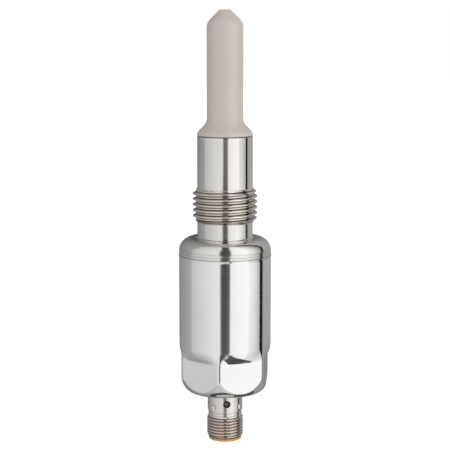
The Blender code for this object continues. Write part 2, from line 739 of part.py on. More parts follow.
def make_electrode_train(mats):
    """Electrode in the tip, its insulating sleeve, the spring and the contact on the board."""
    electrode = [
        (0.0, electrode_top),
        (electrode_r, electrode_top, ELECTRODE_EDGE),
        (electrode_r, electrode_bottom),
        (stem_r, electrode_bottom),
        (stem_r, stem_bottom),
        (0.0, stem_bottom),
    ]
    turned_part("electrode", electrode, SMALL_SEGMENTS, mats["brass"])
    sleeve_top = electrode_bottom - GAP
    sleeve = [
        (sleeve_inner_r, contact_bottom),
        (electrode_r, contact_bottom),
        (electrode_r, sleeve_top),
        (sleeve_inner_r, sleeve_top),
    ]
    turned_part("electrode_sleeve", sleeve, SMALL_SEGMENTS, mats["white"])
    contact_r = sleeve_inner_r - GAP
    contact = [
        (0.0, contact_bottom),
        (contact_r, contact_bottom),
        (contact_r, contact_top),
        (0.0, contact_top),
    ]
    turned_part("spring_contact", contact, PIN_SEGMENTS, mats["brass"])
    make_spring(sleeve_inner_r - GAP - SPRING_WIRE / 2, mats)


def make_spring(coil_r, mats):
    """Compression spring between the electrode's stem and the contact."""
    rise = SPRING_LENGTH - SPRING_WIRE
    count = SPRING_TURNS * SPRING_STEPS
    curve = bpy.data.curves.new("contact_spring", "CURVE")
    curve.dimensions = "3D"
    curve.bevel_depth = SPRING_WIRE / 2
    curve.bevel_resolution = 1
    curve.use_fill_caps = True
    spline = curve.splines.new("POLY")
    spline.points.add(count)
    for step in range(count + 1):
        height = spring_bottom + SPRING_WIRE / 2 + rise * step / count
        spline.points[step].co = (*around(math.tau * step / SPRING_STEPS, coil_r, height), 1.0)
    curve.materials.append(mats["tin"])
    spring = bpy.data.objects.new("contact_spring", curve)
    bpy.context.scene.collection.objects.link(spring)


def extruded_part(name, outline, start, end, axis, mat):
    """Prism from an outline of 2-D points, extruded along Y or Z."""
    bm = bmesh.new()
    if axis == "Y":
        verts = [bm.verts.new((x, start, z)) for x, z in outline]
        step = Vector((0.0, end - start, 0.0))
    else:
        verts = [bm.verts.new((x, y, start)) for x, y in outline]
        step = Vector((0.0, 0.0, end - start))
    face = bm.faces.new(verts)
    result = bmesh.ops.extrude_face_region(bm, geom=[face])
    moved = [item for item in result["geom"] if isinstance(item, bmesh.types.BMVert)]
    bmesh.ops.translate(bm, verts=moved, vec=step)
    return finish_mesh(name, bm, mat)


def make_boards(mats):
    """Upright main board, narrow where it enters the neck, and the round board at the plug."""
    neck = board_neck_half_width
    wide = board_half_width
    shoulder = -CAP_ROOF_THICKNESS - CAP_CAVITY_SLOPE - GAP
    outline = [
        (-neck, main_board_top),
        (neck, main_board_top),
        (neck, shoulder),
        (wide, shoulder - BOARD_SHOULDER_HEIGHT),
        (wide, main_board_bottom),
        (-wide, main_board_bottom),
        (-wide, shoulder - BOARD_SHOULDER_HEIGHT),
        (-neck, shoulder),
    ]
    half = BOARD_THICKNESS / 2
    extruded_part("main_board", outline, -half, half, "Y", mats["board"])
    disc = [
        (0.0, connector_board_bottom),
        (connector_board_r, connector_board_bottom),
        (connector_board_r, connector_board_top),
        (0.0, connector_board_top),
    ]
    board = turned_part("connector_board", disc, SMALL_SEGMENTS, mats["board"])
    holes = pin_hole_cutter("board_hole_cutter", connector_board_bottom, 4 * CONNECTOR_BOARD_THICKNESS, mats)
    add_boolean(board, holes)


def make_board_carrier(mats):
    """Open half tube behind the main board, with a ledge along each edge of the board."""
    outer = board_carrier_r
    inner = outer - BOARD_CARRIER_WALL
    ledge_low = BOARD_THICKNESS / 2 + GAP
    ledge_high = ledge_low + BOARD_CARRIER_LEDGE
    ledge_x = inner - 2 * BOARD_CARRIER_LEDGE
    steps = BOARD_CARRIER_STEPS
    start = -BOARD_CARRIER_LIP_ANGLE
    sweep = math.pi + 2 * BOARD_CARRIER_LIP_ANGLE
    outline = []
    for step in range(steps + 1):
        angle = start + sweep * step / steps
        outline.append((outer * math.cos(angle), outer * math.sin(angle)))
    low_angle = math.asin(ledge_low / inner)
    high_angle = math.asin(ledge_high / inner)
    outline.append((inner * math.cos(math.pi - start), inner * math.sin(start)))
    outline.append((-inner * math.cos(low_angle), ledge_low))
    outline.append((-ledge_x, ledge_low))
    outline.append((-ledge_x, ledge_high))
    inside = math.pi - 2 * high_angle
    for step in range(steps + 1):
        angle = math.pi - high_angle - inside * step / steps
        outline.append((inner * math.cos(angle), inner * math.sin(angle)))
    outline.append((ledge_x, ledge_high))
    outline.append((ledge_x, ledge_low))
    outline.append((inner * math.cos(low_angle), ledge_low))
    outline.append((inner * math.cos(start), inner * math.sin(start)))
    return extruded_part(
        "board_carrier", outline, board_carrier_bottom, board_carrier_top, "Z", mats["carrier"]
    )


def make_box_part(name, size, centre, mat):
    """Moulded block with a small bevel on every edge."""
    bm = bmesh.new()
    bmesh.ops.create_cube(bm, size=1.0, matrix=Matrix.Translation(centre) @ Matrix.Diagonal((*size, 1.0)))
    bmesh.ops.bevel(bm, geom=bm.edges[:], offset=CHIP_EDGE, segments=1, affect="EDGES")
    return finish_mesh(name, bm, mat)


def make_part_row(row, height, mats):
    """Parts side by side on the front of the board, centred on one height."""
    front = -BOARD_THICKNESS / 2 - GAP
    for part, x in row:
        centre = Vector((x, front - part.depth / 2, height))
        make_box_part(part.name, (part.width, part.depth, part.height), centre, mats[part.finish])


def beside(middle, part, side):
    """Distance from the middle of one part to the middle of the next one, on one side of it."""
    return side * ((middle.width + part.width) / 2 + PART_SPACING)


def make_board_parts(mats):
    """Rows of parts down the main board: three from its top, one at its bottom."""
    row_top = spigot_bottom - ROW_SPACING
    row = [(MEASURING_CHIP, 0.0), (CERAMIC_CAPACITOR_2, beside(MEASURING_CHIP, CERAMIC_CAPACITOR_2, -1))]
    make_part_row(row, row_top - MEASURING_CHIP.height / 2, mats)
    row_top -= MEASURING_CHIP.height + ROW_SPACING
    make_storage_capacitors(row_top - CAPACITOR_DIAMETER / 2, mats)
    row_top -= CAPACITOR_DIAMETER + ROW_SPACING
    row = [
        (CONTROLLER_CHIP, 0.0),
        (CLOCK_CRYSTAL, beside(CONTROLLER_CHIP, CLOCK_CRYSTAL, 1)),
        (CERAMIC_CAPACITOR_1, beside(CONTROLLER_CHIP, CERAMIC_CAPACITOR_1, -1)),
    ]
    make_part_row(row, row_top - CONTROLLER_CHIP.height / 2, mats)
    row = [
        (VOLTAGE_REGULATOR, -(VOLTAGE_REGULATOR.width + PART_SPACING) / 2),
        (POWER_CHOKE, (POWER_CHOKE.width + PART_SPACING) / 2),
    ]
    make_part_row(row, main_board_bottom + ROW_SPACING + POWER_CHOKE.height / 2, mats)


def make_storage_capacitors(height, mats):
    """Upright round capacitors side by side, standing off the front of the board."""
    front = -BOARD_THICKNESS / 2 - GAP
    for index in range(CAPACITOR_COUNT):
        x = (index - (CAPACITOR_COUNT - 1) / 2) * (CAPACITOR_DIAMETER + PART_SPACING)
        place = Matrix.Translation((x, 0.0, 0.0)) @ facing(0.0, CAPACITOR_HEIGHT / 2 - front, height)
        bm = bmesh.new()
        cylinder_mesh(bm, CAPACITOR_DIAMETER / 2, CAPACITOR_HEIGHT, SMALL_SEGMENTS, place)
        finish_mesh(f"storage_capacitor_{index + 1}", bm, mats["tin"])


def make_status_leds(mats):
    for index in range(PIN_COUNT):
        centre = around(math.tau * (index + 0.5) / PIN_COUNT, led_circle_r, flange_top - LED_HEIGHT / 2)
        make_box_part(f"status_led_{index + 1}", (LED_SIZE, LED_SIZE, LED_HEIGHT), centre, mats["led"])


def main():
    clear_scene()
    mats = make_materials()
    make_process_connection(mats)
    make_probe_tip(mats)
    make_tip_nut(mats)
    seal_r = tip_seat_r - GAP - TIP_SEAL_SECTION / 2
    make_seal("tip_seal", TIP_SEAL_SECTION, seal_r, joint - TIP_SEAL_DROP, mats)
    make_housing_can(mats)
    make_connector_shell(mats)
    make_contact_carrier(mats)
    seal_r = carrier_r - CARRIER_SEAL_SECTION / 2
    make_seal("carrier_seal", CARRIER_SEAL_SECTION, seal_r, flange_top - CARRIER_SEAL_DROP, mats)
    make_pins(mats)
    make_electrode_train(mats)
    make_boards(mats)
    make_board_carrier(mats)
    make_board_parts(mats)
    make_status_leds(mats)


main()
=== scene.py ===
"""Studio scene of a point level sensor: fine outer pieces, procedural finishes, light and camera.

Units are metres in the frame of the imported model: +Z points to the probe tip, the origin lies on
the axis in the seal plane, and angles round the axis are counted from -Y towards +X.
"""

import math

import bmesh
import bpy
from mathutils import Matrix, Vector


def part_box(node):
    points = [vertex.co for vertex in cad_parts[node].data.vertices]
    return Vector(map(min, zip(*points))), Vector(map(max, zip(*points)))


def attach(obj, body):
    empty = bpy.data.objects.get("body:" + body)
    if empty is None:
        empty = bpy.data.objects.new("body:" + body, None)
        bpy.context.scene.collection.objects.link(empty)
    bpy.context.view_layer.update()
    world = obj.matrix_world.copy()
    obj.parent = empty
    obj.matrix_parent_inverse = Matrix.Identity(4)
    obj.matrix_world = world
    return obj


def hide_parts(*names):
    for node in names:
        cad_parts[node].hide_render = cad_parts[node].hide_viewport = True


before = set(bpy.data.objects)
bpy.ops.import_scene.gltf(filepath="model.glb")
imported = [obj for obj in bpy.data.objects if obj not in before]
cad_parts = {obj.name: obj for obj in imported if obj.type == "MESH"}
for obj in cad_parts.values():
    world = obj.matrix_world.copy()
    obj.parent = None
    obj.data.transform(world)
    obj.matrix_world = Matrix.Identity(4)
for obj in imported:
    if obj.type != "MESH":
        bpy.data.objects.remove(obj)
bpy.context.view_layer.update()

MM = 0.001

# Camera of the photograph: distance from the axis, height over the seal plane, turn and tilt.
CAMERA_DISTANCE = 454.8 * MM
CAMERA_HEIGHT = 73.4 * MM
CAMERA_TURN = math.radians(-22.7)
CAMERA_TILT = math.radians(8.69)
CAMERA_LENS = 113.0
SENSOR_WIDTH = 36.0
CLIP_START = 0.01
CLIP_END = 50.0

# Clearance between neighbouring pieces, as in the frame.
GAP = 0.25 * MM

# Mesh resolution of the turned and formed pieces.
TIP_SEGMENTS = 192
BARREL_SEGMENTS = 240
CAN_SECTOR_STEPS = 108
CONNECTOR_SEGMENTS = 144
PIN_SEGMENTS = 32
ARC_STEP = math.radians(6.0)
LEAST_ARC_STEPS = 3
THREAD_ARC_STEPS = 4
SHARP_ANGLE = math.radians(32.0)
CAN_SHARP_ANGLE = math.radians(40.0)

# Turns of a thread that are laid out below its lower end, so that it is covered all round.
LEAD_TURNS = 2

# Probe tip.
TIP_ROD_DIAMETER = 11.7 * MM
TIP_FLAT_DIAMETER = 3.4 * MM
TIP_EDGE_RADIUS = 1.0 * MM
TIP_CONE_RADIUS = 3.5 * MM
FLARE_LIP_HEIGHT = 0.95 * MM
FLARE_ROOT_RADIUS = 3.9 * MM
FLARE_RIM_RADIUS = 2.2 * MM
FLARE_FOOT_EDGE = 0.1 * MM

# Process connection with its pipe thread.
THREAD_DIAMETER = 20.955 * MM
THREAD_PITCH = 1.814 * MM
THREAD_HALF_ANGLE = math.radians(27.5)
THREAD_ROUNDING = 0.137
THREAD_DEPTH_SHARE = 0.64
THREAD_START = 5.0 * MM
THREAD_LENGTH = 11.2 * MM
THREAD_PHASE = 0.0
THREAD_SNAP = 0.02 * MM
BARREL_EDGE = 0.18 * MM
NECK_FILLET = 0.6 * MM
SEAL_FACE_WIDTH = 1.0 * MM
SEAM_HEIGHT = -5.6 * MM
CAP_EDGE = 0.15 * MM
SEAM_GAP = 0.05 * MM
CAP_GROOVE_HEIGHTS = (-4.72 * MM, -3.75 * MM)
CAP_GROOVE_WIDTH = 0.26 * MM
CAP_GROOVE_DEPTH = 0.16 * MM
SPIGOT_WALL = 1.1 * MM
CAP_ROOF_THICKNESS = 2.6 * MM
CAP_CAVITY_SLOPE = 1.6 * MM
TIP_SEAT_DEPTH = 9.0 * MM
WEB_THICKNESS = 3.1 * MM
WEB_STEP = 1.55 * MM

# Housing can: a rolled lip at the seam, a pressed hexagon and a rounded bottom.
HOUSING_WALL = 3.0 * MM
LIP_HEIGHT = 0.85 * MM
LIP_RISE = 0.16 * MM
LIP_EDGE = 0.12 * MM
FLAT_COUNT = 6
FLAT_DEPTH = 1.5 * MM
FLAT_HEIGHT = 11.6 * MM
FORM_LENGTH = 4.2 * MM
FORM_BLEND = 0.12
RIDGE_RADIUS = 1.8 * MM
RIDGE_CROWDING = 0.35
BOTTOM_MARGIN = 3.25 * MM
BOTTOM_SPREAD = 3.05 * MM
BOTTOM_CURVE_HEIGHT = 23.2 * MM
BOTTOM_CURVE_POWER = 1.74
BOTTOM_EDGE = 0.2 * MM
BOTTOM_STEPS = 90
WALL_ROW = 0.18 * MM
HOUSING_FLOOR = 2.0 * MM
FLOOR_MARGIN = 1.5 * MM
FLOOR_INNER_RISE = 4.9 * MM

# Connector shell with its light windows, stakes and fine thread.
COLLAR_DIAMETER = 11.5 * MM
COLLAR_LENGTH = 6.74 * MM
RELIEF_DIAMETER = 11.0 * MM
RELIEF_LENGTH = 2.0 * MM
PLUG_DIAMETER = 11.9 * MM
PLUG_PITCH = 1.0 * MM
PLUG_PHASE = 0.66
PLUG_DEPTH = 0.52 * MM
PLUG_CREST_SHARE = 0.2
PLUG_CHAMFER = 0.5 * MM
SHELL_BORE_DIAMETER = 9.9 * MM
SHELL_FLANGE_HEIGHT = 1.25 * MM
WINDOW_COUNT = 4
WINDOW_DIAMETER = 2.45 * MM
WINDOW_DROP = 3.84 * MM
WINDOW_ANGLE = math.radians(-16.6)
STAKE_DROP = 5.14 * MM
STAKE_TOOL_DIAMETER = 3.2 * MM
STAKE_DEPTH = 0.28 * MM
RELIEF_RING_DROPS = (0.45 * MM, 1.35 * MM)
RELIEF_RING_DEPTH = 0.16 * MM
CONNECTOR_EDGE = 0.12 * MM
COLLAR_ROWS = 9

# Contact carrier and pins.
CARRIER_RIM_DIAMETER = 10.8 * MM
CARRIER_RIM_EDGE = 0.25 * MM
CARRIER_RIM_TOP_EDGE = 0.08 * MM
SOCKET_DIAMETER = 8.6 * MM
SOCKET_DEPTH = 9.0 * MM
SOCKET_KEY_WIDTH = 0.9 * MM
SOCKET_KEY_DEPTH = 0.6 * MM
SOCKET_KEY_ANGLE = math.radians(45.0)
LED_COUNT = 4
LED_RECESS_WALL = 0.8 * MM
PIN_COUNT = 4
PIN_NOSE = 0.4 * MM
LENS_DIAMETER = 1.3 * MM
LENS_CROWN = 0.3 * MM
LENS_SINK = 0.25 * MM
LENS_STEPS = 8
LENS_SEGMENTS = 48
LENS_FLANGE_GAP = 0.04 * MM
LENS_FLANGE_SINK = 0.75 * MM

# Noise: the span of its values that a tone or a gloss follows, then its stretches, details and scales.
NOISE_SPAN = (0.3, 0.7)
METAL_SPAN = (0.35, 0.65)
EVEN_STRETCH = (1.0, 1.0, 1.0)
LATHE_STRETCH = (0.02, 0.02, 1.0)
MOULD_STRETCH = (1.0, 1.0, 0.35)
ACROSS_AXIS = (1.0, 1.0, 0.0)
NOISE_DETAIL = 3.0
LATHE_DETAIL = 4.0
METAL_DRIFT = 90.0
PLASTIC_DRIFT = 70.0
PAPER_DRIFT = 25.0
GRAIN_HEIGHT = 0.004 * MM
GRAIN_SCALE = 900.0
TIP_GRAIN_HEIGHT = 0.001 * MM
TIP_GRAIN_SCALE = 250.0

# Metals as light tone, dark tone, range of roughness, scale of the lathe marks and their height.
METALS = {
    "polished_steel": ((0.86, 0.86, 0.86), (0.83, 0.83, 0.83), (0.07, 0.11), 900.0, 0.0004 * MM),
    "turned_steel": ((0.80, 0.785, 0.76), (0.75, 0.735, 0.71), (0.10, 0.17), 3500.0, 0.0035 * MM),
    "barrel_steel": ((0.85, 0.83, 0.80), (0.81, 0.79, 0.76), (0.07, 0.12), 3500.0, 0.0012 * MM),
    "plug_steel": ((0.82, 0.775, 0.735), (0.76, 0.715, 0.675), (0.12, 0.20), 3000.0, 0.002 * MM),
    "gold_plate": ((0.86, 0.64, 0.28), (0.80, 0.57, 0.23), (0.15, 0.22), 2500.0, 0.001 * MM),
    "bare_brass": ((0.74, 0.55, 0.27), (0.66, 0.48, 0.22), (0.22, 0.34), 2500.0, 0.002 * MM),
    "tinned_metal": ((0.78, 0.78, 0.77), (0.70, 0.70, 0.69), (0.25, 0.38), 900.0, 0.002 * MM),
    "spring_steel": ((0.62, 0.62, 0.63), (0.52, 0.52, 0.53), (0.22, 0.32), 4000.0, 0.001 * MM),
}

# Plastics and the like as light tone, dark tone and range of roughness; the tip has its own grain.
PLASTICS = {
    "tip_plastic": (
        (0.56, 0.505, 0.465), (0.53, 0.48, 0.435), (0.28, 0.31), TIP_GRAIN_HEIGHT, TIP_GRAIN_SCALE
    ),
    "amber_plastic": ((0.56, 0.34, 0.11), (0.48, 0.28, 0.085), (0.14, 0.22)),
    "window_lens": ((0.15, 0.085, 0.065), (0.11, 0.06, 0.045), (0.12, 0.2)),
    "seal_rubber": ((0.022, 0.022, 0.023), (0.016, 0.016, 0.017), (0.5, 0.65)),
    "insulator": ((0.78, 0.78, 0.75), (0.74, 0.74, 0.71), (0.4, 0.5)),
    "circuit_board": ((0.03, 0.22, 0.10), (0.02, 0.16, 0.07), (0.35, 0.5)),
    "carrier_plastic": ((0.055, 0.055, 0.06), (0.045, 0.045, 0.05), (0.4, 0.55)),
    "chip_plastic": ((0.024, 0.024, 0.026), (0.018, 0.018, 0.02), (0.4, 0.55)),
    "ferrite": ((0.11, 0.11, 0.12), (0.08, 0.08, 0.09), (0.5, 0.65)),
    "ceramic": ((0.58, 0.44, 0.29), (0.52, 0.39, 0.25), (0.4, 0.5)),
    "led_lens": ((0.66, 0.78, 0.38), (0.58, 0.72, 0.32), (0.2, 0.3)),
}

# Tone of the steel from the root of each thread (0) to its crest (1), with light and shade painted in: a
# painted highlight and a warm painted reflection at the root, a dark band of painted shade low on each
# flank, then the light steel towards the crest.
PAINTED_SHADE_THREAD_TONES = [
    (0.0, (0.88, 0.84, 0.78)),
    (0.08, (0.84, 0.76, 0.66)),
    (0.15, (0.10, 0.07, 0.045)),
    (0.3, (0.24, 0.19, 0.14)),
    (0.6, (0.84, 0.82, 0.80)),
]
# The plug's thread is darker and browner towards its root: painted shade.
PLUG_PAINTED_SHADE_THREAD_TONES = [
    (0.0, (0.34, 0.27, 0.21)),
    (0.25, (0.54, 0.46, 0.39)),
    (0.7, (0.79, 0.73, 0.68)),
]

# Studio: the floor far below the held part, and the strength of the world and of the floor.
FLOOR_HEIGHT = -0.35
FLOOR_SIZE = 14.0
FLOOR_LIGHT = (0.82, 0.82, 0.82)
FLOOR_DARK = (0.80, 0.80, 0.80)
FLOOR_ROUGHNESS = 0.9
FLOOR_GLOW = 0.6
WORLD_SOFT_LIGHT = 0.55
WORLD_BACKGROUND = 1.0
WHITE = (1.0, 1.0, 1.0, 1.0)

# Cards on a ring round the part, with the flags just inside them. A card's strength is 1 in
# reflections, and for soft light it is CARD_FILL or the fill that a sector gives.
CARD_RING = 0.78
FLAG_RING = 0.765
CEILING_HEIGHT = 1.12
CEILING_OPENING = 0.2
CEILING_LEVEL = 0.36
CARD_LIFT = 0.002
CARD_FLOOR = FLOOR_HEIGHT + CARD_LIFT
FLAG_FLOOR = FLOOR_HEIGHT + 2 * CARD_LIFT
FLAG_TOP = CEILING_HEIGHT - CARD_LIFT
CARD_STEPS = 24
CARD_FILL = 1.5
DISC_HOLE = 0.002

# Heights up the wall at which the tone or the edge of a card may change.
WALL_FOOT = -0.25
WALL_LOW = -0.14
WALL_MIDDLE = -0.03
WALL_HIGH = 0.35

# Rows of a studio card as (radius, height): over the floor, up the wall and over the top.
CARD_INNER_EDGE = 0.06
CARD_MIDDLE = 0.36
CARD_ROWS = [
    (CARD_INNER_EDGE, CARD_FLOOR),
    (CARD_MIDDLE, CARD_FLOOR),
    (CARD_RING, CARD_FLOOR),
    (CARD_RING, WALL_LOW),
    (CARD_RING, WALL_MIDDLE),
    (CARD_RING, WALL_HIGH),
    (CARD_RING, CEILING_HEIGHT),
    (CEILING_OPENING, CEILING_HEIGHT),
]

# Edges between the sectors of the wall, in degrees from the camera.
BEHIND = 180.0
ALL_ROUND = (-BEHIND, BEHIND)
LEFT_EDGE = -92.0
FRONT_EDGE = 2.0
RIGHT_EDGE = 60.0
FALLOFF_EDGE = 102.0

# Black flag on the right and dark gap at the camera: how far in they reach, and the flag's level.
FLAG_FLOOR_REACH = 0.42
FLAG_TOP_REACH = 0.3
FLAG_LEVEL = 0.006
GAP_TOP_REACH = 0.45

# Dark strip on the floor beside the camera, as distances to the right of the axis.
STRIP_LEFT = 0.125
STRIP_RIGHT = 0.215
STRIP_STEPS = 16
STRIP_LEVEL = 0.07

# Dark ring on the floor below the part, with a grey disc inside it.
RING_INNER = 0.07
RING_OUTER = 0.12
RING_LEVEL = 0.05
DISC_LEVEL = 0.5

# Places worked out from the frame and the sizes above.
tip_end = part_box("probe_tip")[1].z
barrel_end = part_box("process_connection")[1].z
spigot_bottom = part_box("process_connection")[0].z
can_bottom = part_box("housing_can")[0].z
shell_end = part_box("connector_shell")[0].z
flange_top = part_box("connector_shell")[1].z
rim_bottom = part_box("contact_carrier")[0].z
joint = barrel_end + GAP / 2
barrel_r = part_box("probe_tip")[1].x
housing_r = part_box("process_connection")[1].x
shoulder_r = barrel_r + NECK_FILLET + SEAL_FACE_WIDTH
tip_spigot_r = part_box("tip_seal")[1].x
tip_seat_r = tip_spigot_r + GAP
web_hole_r = tip_seat_r - WEB_STEP
lower_bore_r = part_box("tip_nut")[1].x + GAP
pin_r = (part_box("contact_pin_1")[1].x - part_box("contact_pin_1")[0].x) / 2
pin_circle_r = -(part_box("contact_pin_1")[1].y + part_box("contact_pin_1")[0].y) / 2
led_recess_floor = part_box("status_led_1")[0].z - GAP
cavity_r = housing_r - HOUSING_WALL
flat_r = housing_r - FLAT_DEPTH
flat_top = can_bottom + FLAT_HEIGHT
form_top = flat_top + FORM_LENGTH
bottom_start = can_bottom + BOTTOM_CURVE_HEIGHT
bottom_face_r = housing_r - BOTTOM_MARGIN
flange_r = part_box("connector_shell")[1].x
thread_top = THREAD_START + THREAD_LENGTH
thread_depth = THREAD_DEPTH_SHARE * THREAD_PITCH
thread_crest_r = THREAD_DIAMETER / 2
thread_root_r = thread_crest_r - thread_depth
can_top = SEAM_HEIGHT - SEAM_GAP / 2
cap_bottom = SEAM_HEIGHT + SEAM_GAP / 2
collar_r = COLLAR_DIAMETER / 2
relief_r = RELIEF_DIAMETER / 2
plug_crest_r = PLUG_DIAMETER / 2
plug_root_r = plug_crest_r - PLUG_DEPTH
shell_bore_r = SHELL_BORE_DIAMETER / 2
carrier_r = shell_bore_r - GAP
led_recess_r = carrier_r - LED_RECESS_WALL
socket_r = SOCKET_DIAMETER / 2
collar_bottom = can_bottom - COLLAR_LENGTH
relief_bottom = collar_bottom - RELIEF_LENGTH


def around(angle, radius, height=0.0):
    """A point at an angle counted from -Y towards +X."""
    return Vector((radius * math.sin(angle), -radius * math.cos(angle), height))


def node_material(name):
    """A new material, its node tree and its Principled shader."""
    mat = bpy.data.materials.new(name)
    mat.use_nodes = True
    return mat, mat.node_tree, mat.node_tree.nodes["Principled BSDF"]


def add_node(tree, kind, **values):
    """Add a node and set its plain properties, or the sockets that carry the same names."""
    node = tree.nodes.new(kind)
    for key, value in values.items():
        if hasattr(node, key):
            setattr(node, key, value)
        else:
            node.inputs[key.replace("_", " ")].default_value = value
    return node


def object_coordinates(tree, stretch):
    """Object coordinates scaled by a vector, for marks that run along one direction."""
    coords = add_node(tree, "ShaderNodeTexCoord")
    mapping = add_node(tree, "ShaderNodeMapping")
    mapping.inputs["Scale"].default_value = stretch
    tree.links.new(coords.outputs["Object"], mapping.inputs["Vector"])
    return mapping.outputs["Vector"]


def noise(tree, vector, scale, detail=NOISE_DETAIL):
    node = add_node(tree, "ShaderNodeTexNoise", Scale=scale, Detail=detail)
    tree.links.new(vector, node.inputs["Vector"])
    return node.outputs["Fac"]


def ramp(tree, factor, stops):
    """Colour ramp from a list of (position, colour)."""
    node = add_node(tree, "ShaderNodeValToRGB")
    elements = node.color_ramp.elements
    while len(elements) < len(stops):
        elements.new(position=0.5)
    for element, (position, colour) in zip(elements, stops):
        element.position = position
        element.color = (*colour, 1.0)
    tree.links.new(factor, node.inputs["Fac"])
    return node.outputs["Color"]


def map_range(tree, value, low, high):
    """Map the usual span of a noise to a range of values."""
    node = add_node(
        tree, "ShaderNodeMapRange",
        From_Min=NOISE_SPAN[0], From_Max=NOISE_SPAN[1], To_Min=low, To_Max=high
    )
    tree.links.new(value, node.inputs["Value"])
    return node.outputs["Result"]


def add_bump(tree, shader, height, distance):
    bump = add_node(tree, "ShaderNodeBump", Strength=1.0, Distance=distance)
    tree.links.new(height, bump.inputs["Height"])
    tree.links.new(bump.outputs["Normal"], shader.inputs["Normal"])


def drift(tree, stretch, scale, span, dark, light):
    """Colour that drifts between two tones with a coarse noise."""
    cloud = noise(tree, object_coordinates(tree, stretch), scale)
    return ramp(tree, cloud, [(span[0], dark), (span[1], light)])


def metal(name, light, dark, roughness, marks, mark_height):
    """Steel or plating with lathe marks round the axis and a faint drift of tone and gloss."""
    mat, tree, shader = node_material(name)
    shader.inputs["Metallic"].default_value = 1.0
    rings = noise(tree, object_coordinates(tree, LATHE_STRETCH), marks, LATHE_DETAIL)
    tone = drift(tree, EVEN_STRETCH, METAL_DRIFT, METAL_SPAN, dark, light)
    tree.links.new(tone, shader.inputs["Base Color"])
    tree.links.new(map_range(tree, rings, *roughness), shader.inputs["Roughness"])
    add_bump(tree, shader, rings, mark_height)
    return mat


def painted_shade_thread_metal(name, steel, root_r, crest_r, painted_shade_tones):
    """A copy of a steel whose tone follows the stops from the root of a thread to its crest, so that
    painted shade and painted reflections follow the thread.
    """
    mat = steel.copy()
    mat.name = name
    tree = mat.node_tree
    shader = tree.nodes["Principled BSDF"]
    place = object_coordinates(tree, ACROSS_AXIS)
    distance = add_node(tree, "ShaderNodeVectorMath", operation="LENGTH")
    tree.links.new(place, distance.inputs[0])
    share = add_node(tree, "ShaderNodeMapRange", From_Min=root_r, From_Max=crest_r)
    tree.links.new(distance.outputs["Value"], share.inputs["Value"])
    tone = ramp(tree, share.outputs["Result"], painted_shade_tones)
    tree.links.new(tone, shader.inputs["Base Color"])
    return mat


def plastic(name, light, dark, roughness, grain_height=GRAIN_HEIGHT, grain_scale=GRAIN_SCALE):
    """Moulded plastic with a fine grain and a faint drift of colour."""
    mat, tree, shader = node_material(name)
    grain = noise(tree, object_coordinates(tree, EVEN_STRETCH), grain_scale)
    tone = drift(tree, MOULD_STRETCH, PLASTIC_DRIFT, NOISE_SPAN, dark, light)
    tree.links.new(tone, shader.inputs["Base Color"])
    tree.links.new(map_range(tree, grain, *roughness), shader.inputs["Roughness"])
    add_bump(tree, shader, grain, grain_height)
    return mat


def set_shader(mat, **values):
    """Set sockets of a material's Principled shader, named with an underscore for each space."""
    shader = mat.node_tree.nodes["Principled BSDF"]
    for key, value in values.items():
        shader.inputs[key.replace("_", " ")].default_value = value


def make_materials():
    mats = {name: metal(name, *look) for name, look in METALS.items()}
    mats.update({name: plastic(name, *look) for name, look in PLASTICS.items()})
    # Thread steels whose colour carries painted shade and painted reflections along each thread.
    mats["painted_shade_thread_steel"] = painted_shade_thread_metal(
        "painted_shade_thread_steel", mats["turned_steel"], thread_root_r, thread_crest_r, PAINTED_SHADE_THREAD_TONES
    )
    mats["plug_painted_shade_thread_steel"] = painted_shade_thread_metal(
        "plug_painted_shade_thread_steel", mats["plug_steel"], plug_root_r, plug_crest_r, PLUG_PAINTED_SHADE_THREAD_TONES
    )
    set_shader(
        mats["tip_plastic"], IOR=1.58,
        Subsurface_Weight=0.12, Subsurface_Radius=(0.9, 0.7, 0.55), Subsurface_Scale=0.8 * MM
    )
    set_shader(
        mats["amber_plastic"],
        Subsurface_Weight=0.25, Subsurface_Radius=(1.0, 0.5, 0.15), Subsurface_Scale=0.6 * MM
    )
    set_shader(mats["window_lens"], Coat_Weight=0.3)
    return mats


def rounded(corners):
    """Profile points from corners (radius, height) or (radius, height, fillet)."""
    points = []
    count = len(corners)
    for index, corner in enumerate(corners):
        here = Vector(corner[:2])
        fillet = corner[2] if len(corner) == 3 else 0.0
        if fillet == 0.0:
            points.append((here.x, here.y))
            continue
        before = (Vector(corners[index - 1][:2]) - here).normalized()
        after = (Vector(corners[(index + 1) % count][:2]) - here).normalized()
        half_angle = before.angle(after) / 2
        inset = fillet / math.tan(half_angle)
        centre = here + (before + after).normalized() * (fillet / math.sin(half_angle))
        start = here + before * inset - centre
        turn = start.angle_signed(here + after * inset - centre)
        steps = max(LEAST_ARC_STEPS, math.ceil(abs(turn) / ARC_STEP))
        for step in range(steps + 1):
            spoke = start.copy()
            spoke.rotate(Matrix.Rotation(-turn * step / steps, 2))
            points.append(tuple(centre + spoke))
    return points


def ring(bm, radius, height, segments):
    """A circle of vertices, or the single vertex where the profile meets the axis."""
    if radius == 0.0:
        return [bm.verts.new((0.0, 0.0, height))]
    return [bm.verts.new(around(math.tau * i / segments, radius, height)) for i in range(segments)]


def bridge(bm, lower, upper):
    """Faces between two rings, either of which may be a single vertex."""
    count = max(len(lower), len(upper))
    for i in range(count):
        j = (i + 1) % count
        corners = [lower[i % len(lower)], lower[j % len(lower)]]
        corners += [upper[j % len(upper)], upper[i % len(upper)]]
        bm.faces.new(list(dict.fromkeys(corners)))


def lathe(bm, profile, segments, closed=True):
    """Revolve a profile round the axis and return its rings."""
    rings = [ring(bm, radius, height, segments) for radius, height in profile]
    for first, second in zip(rings, rings[1:]):
        bridge(bm, first, second)
    if closed and len(rings[0]) > 1:
        bridge(bm, rings[-1], rings[0])
    return rings


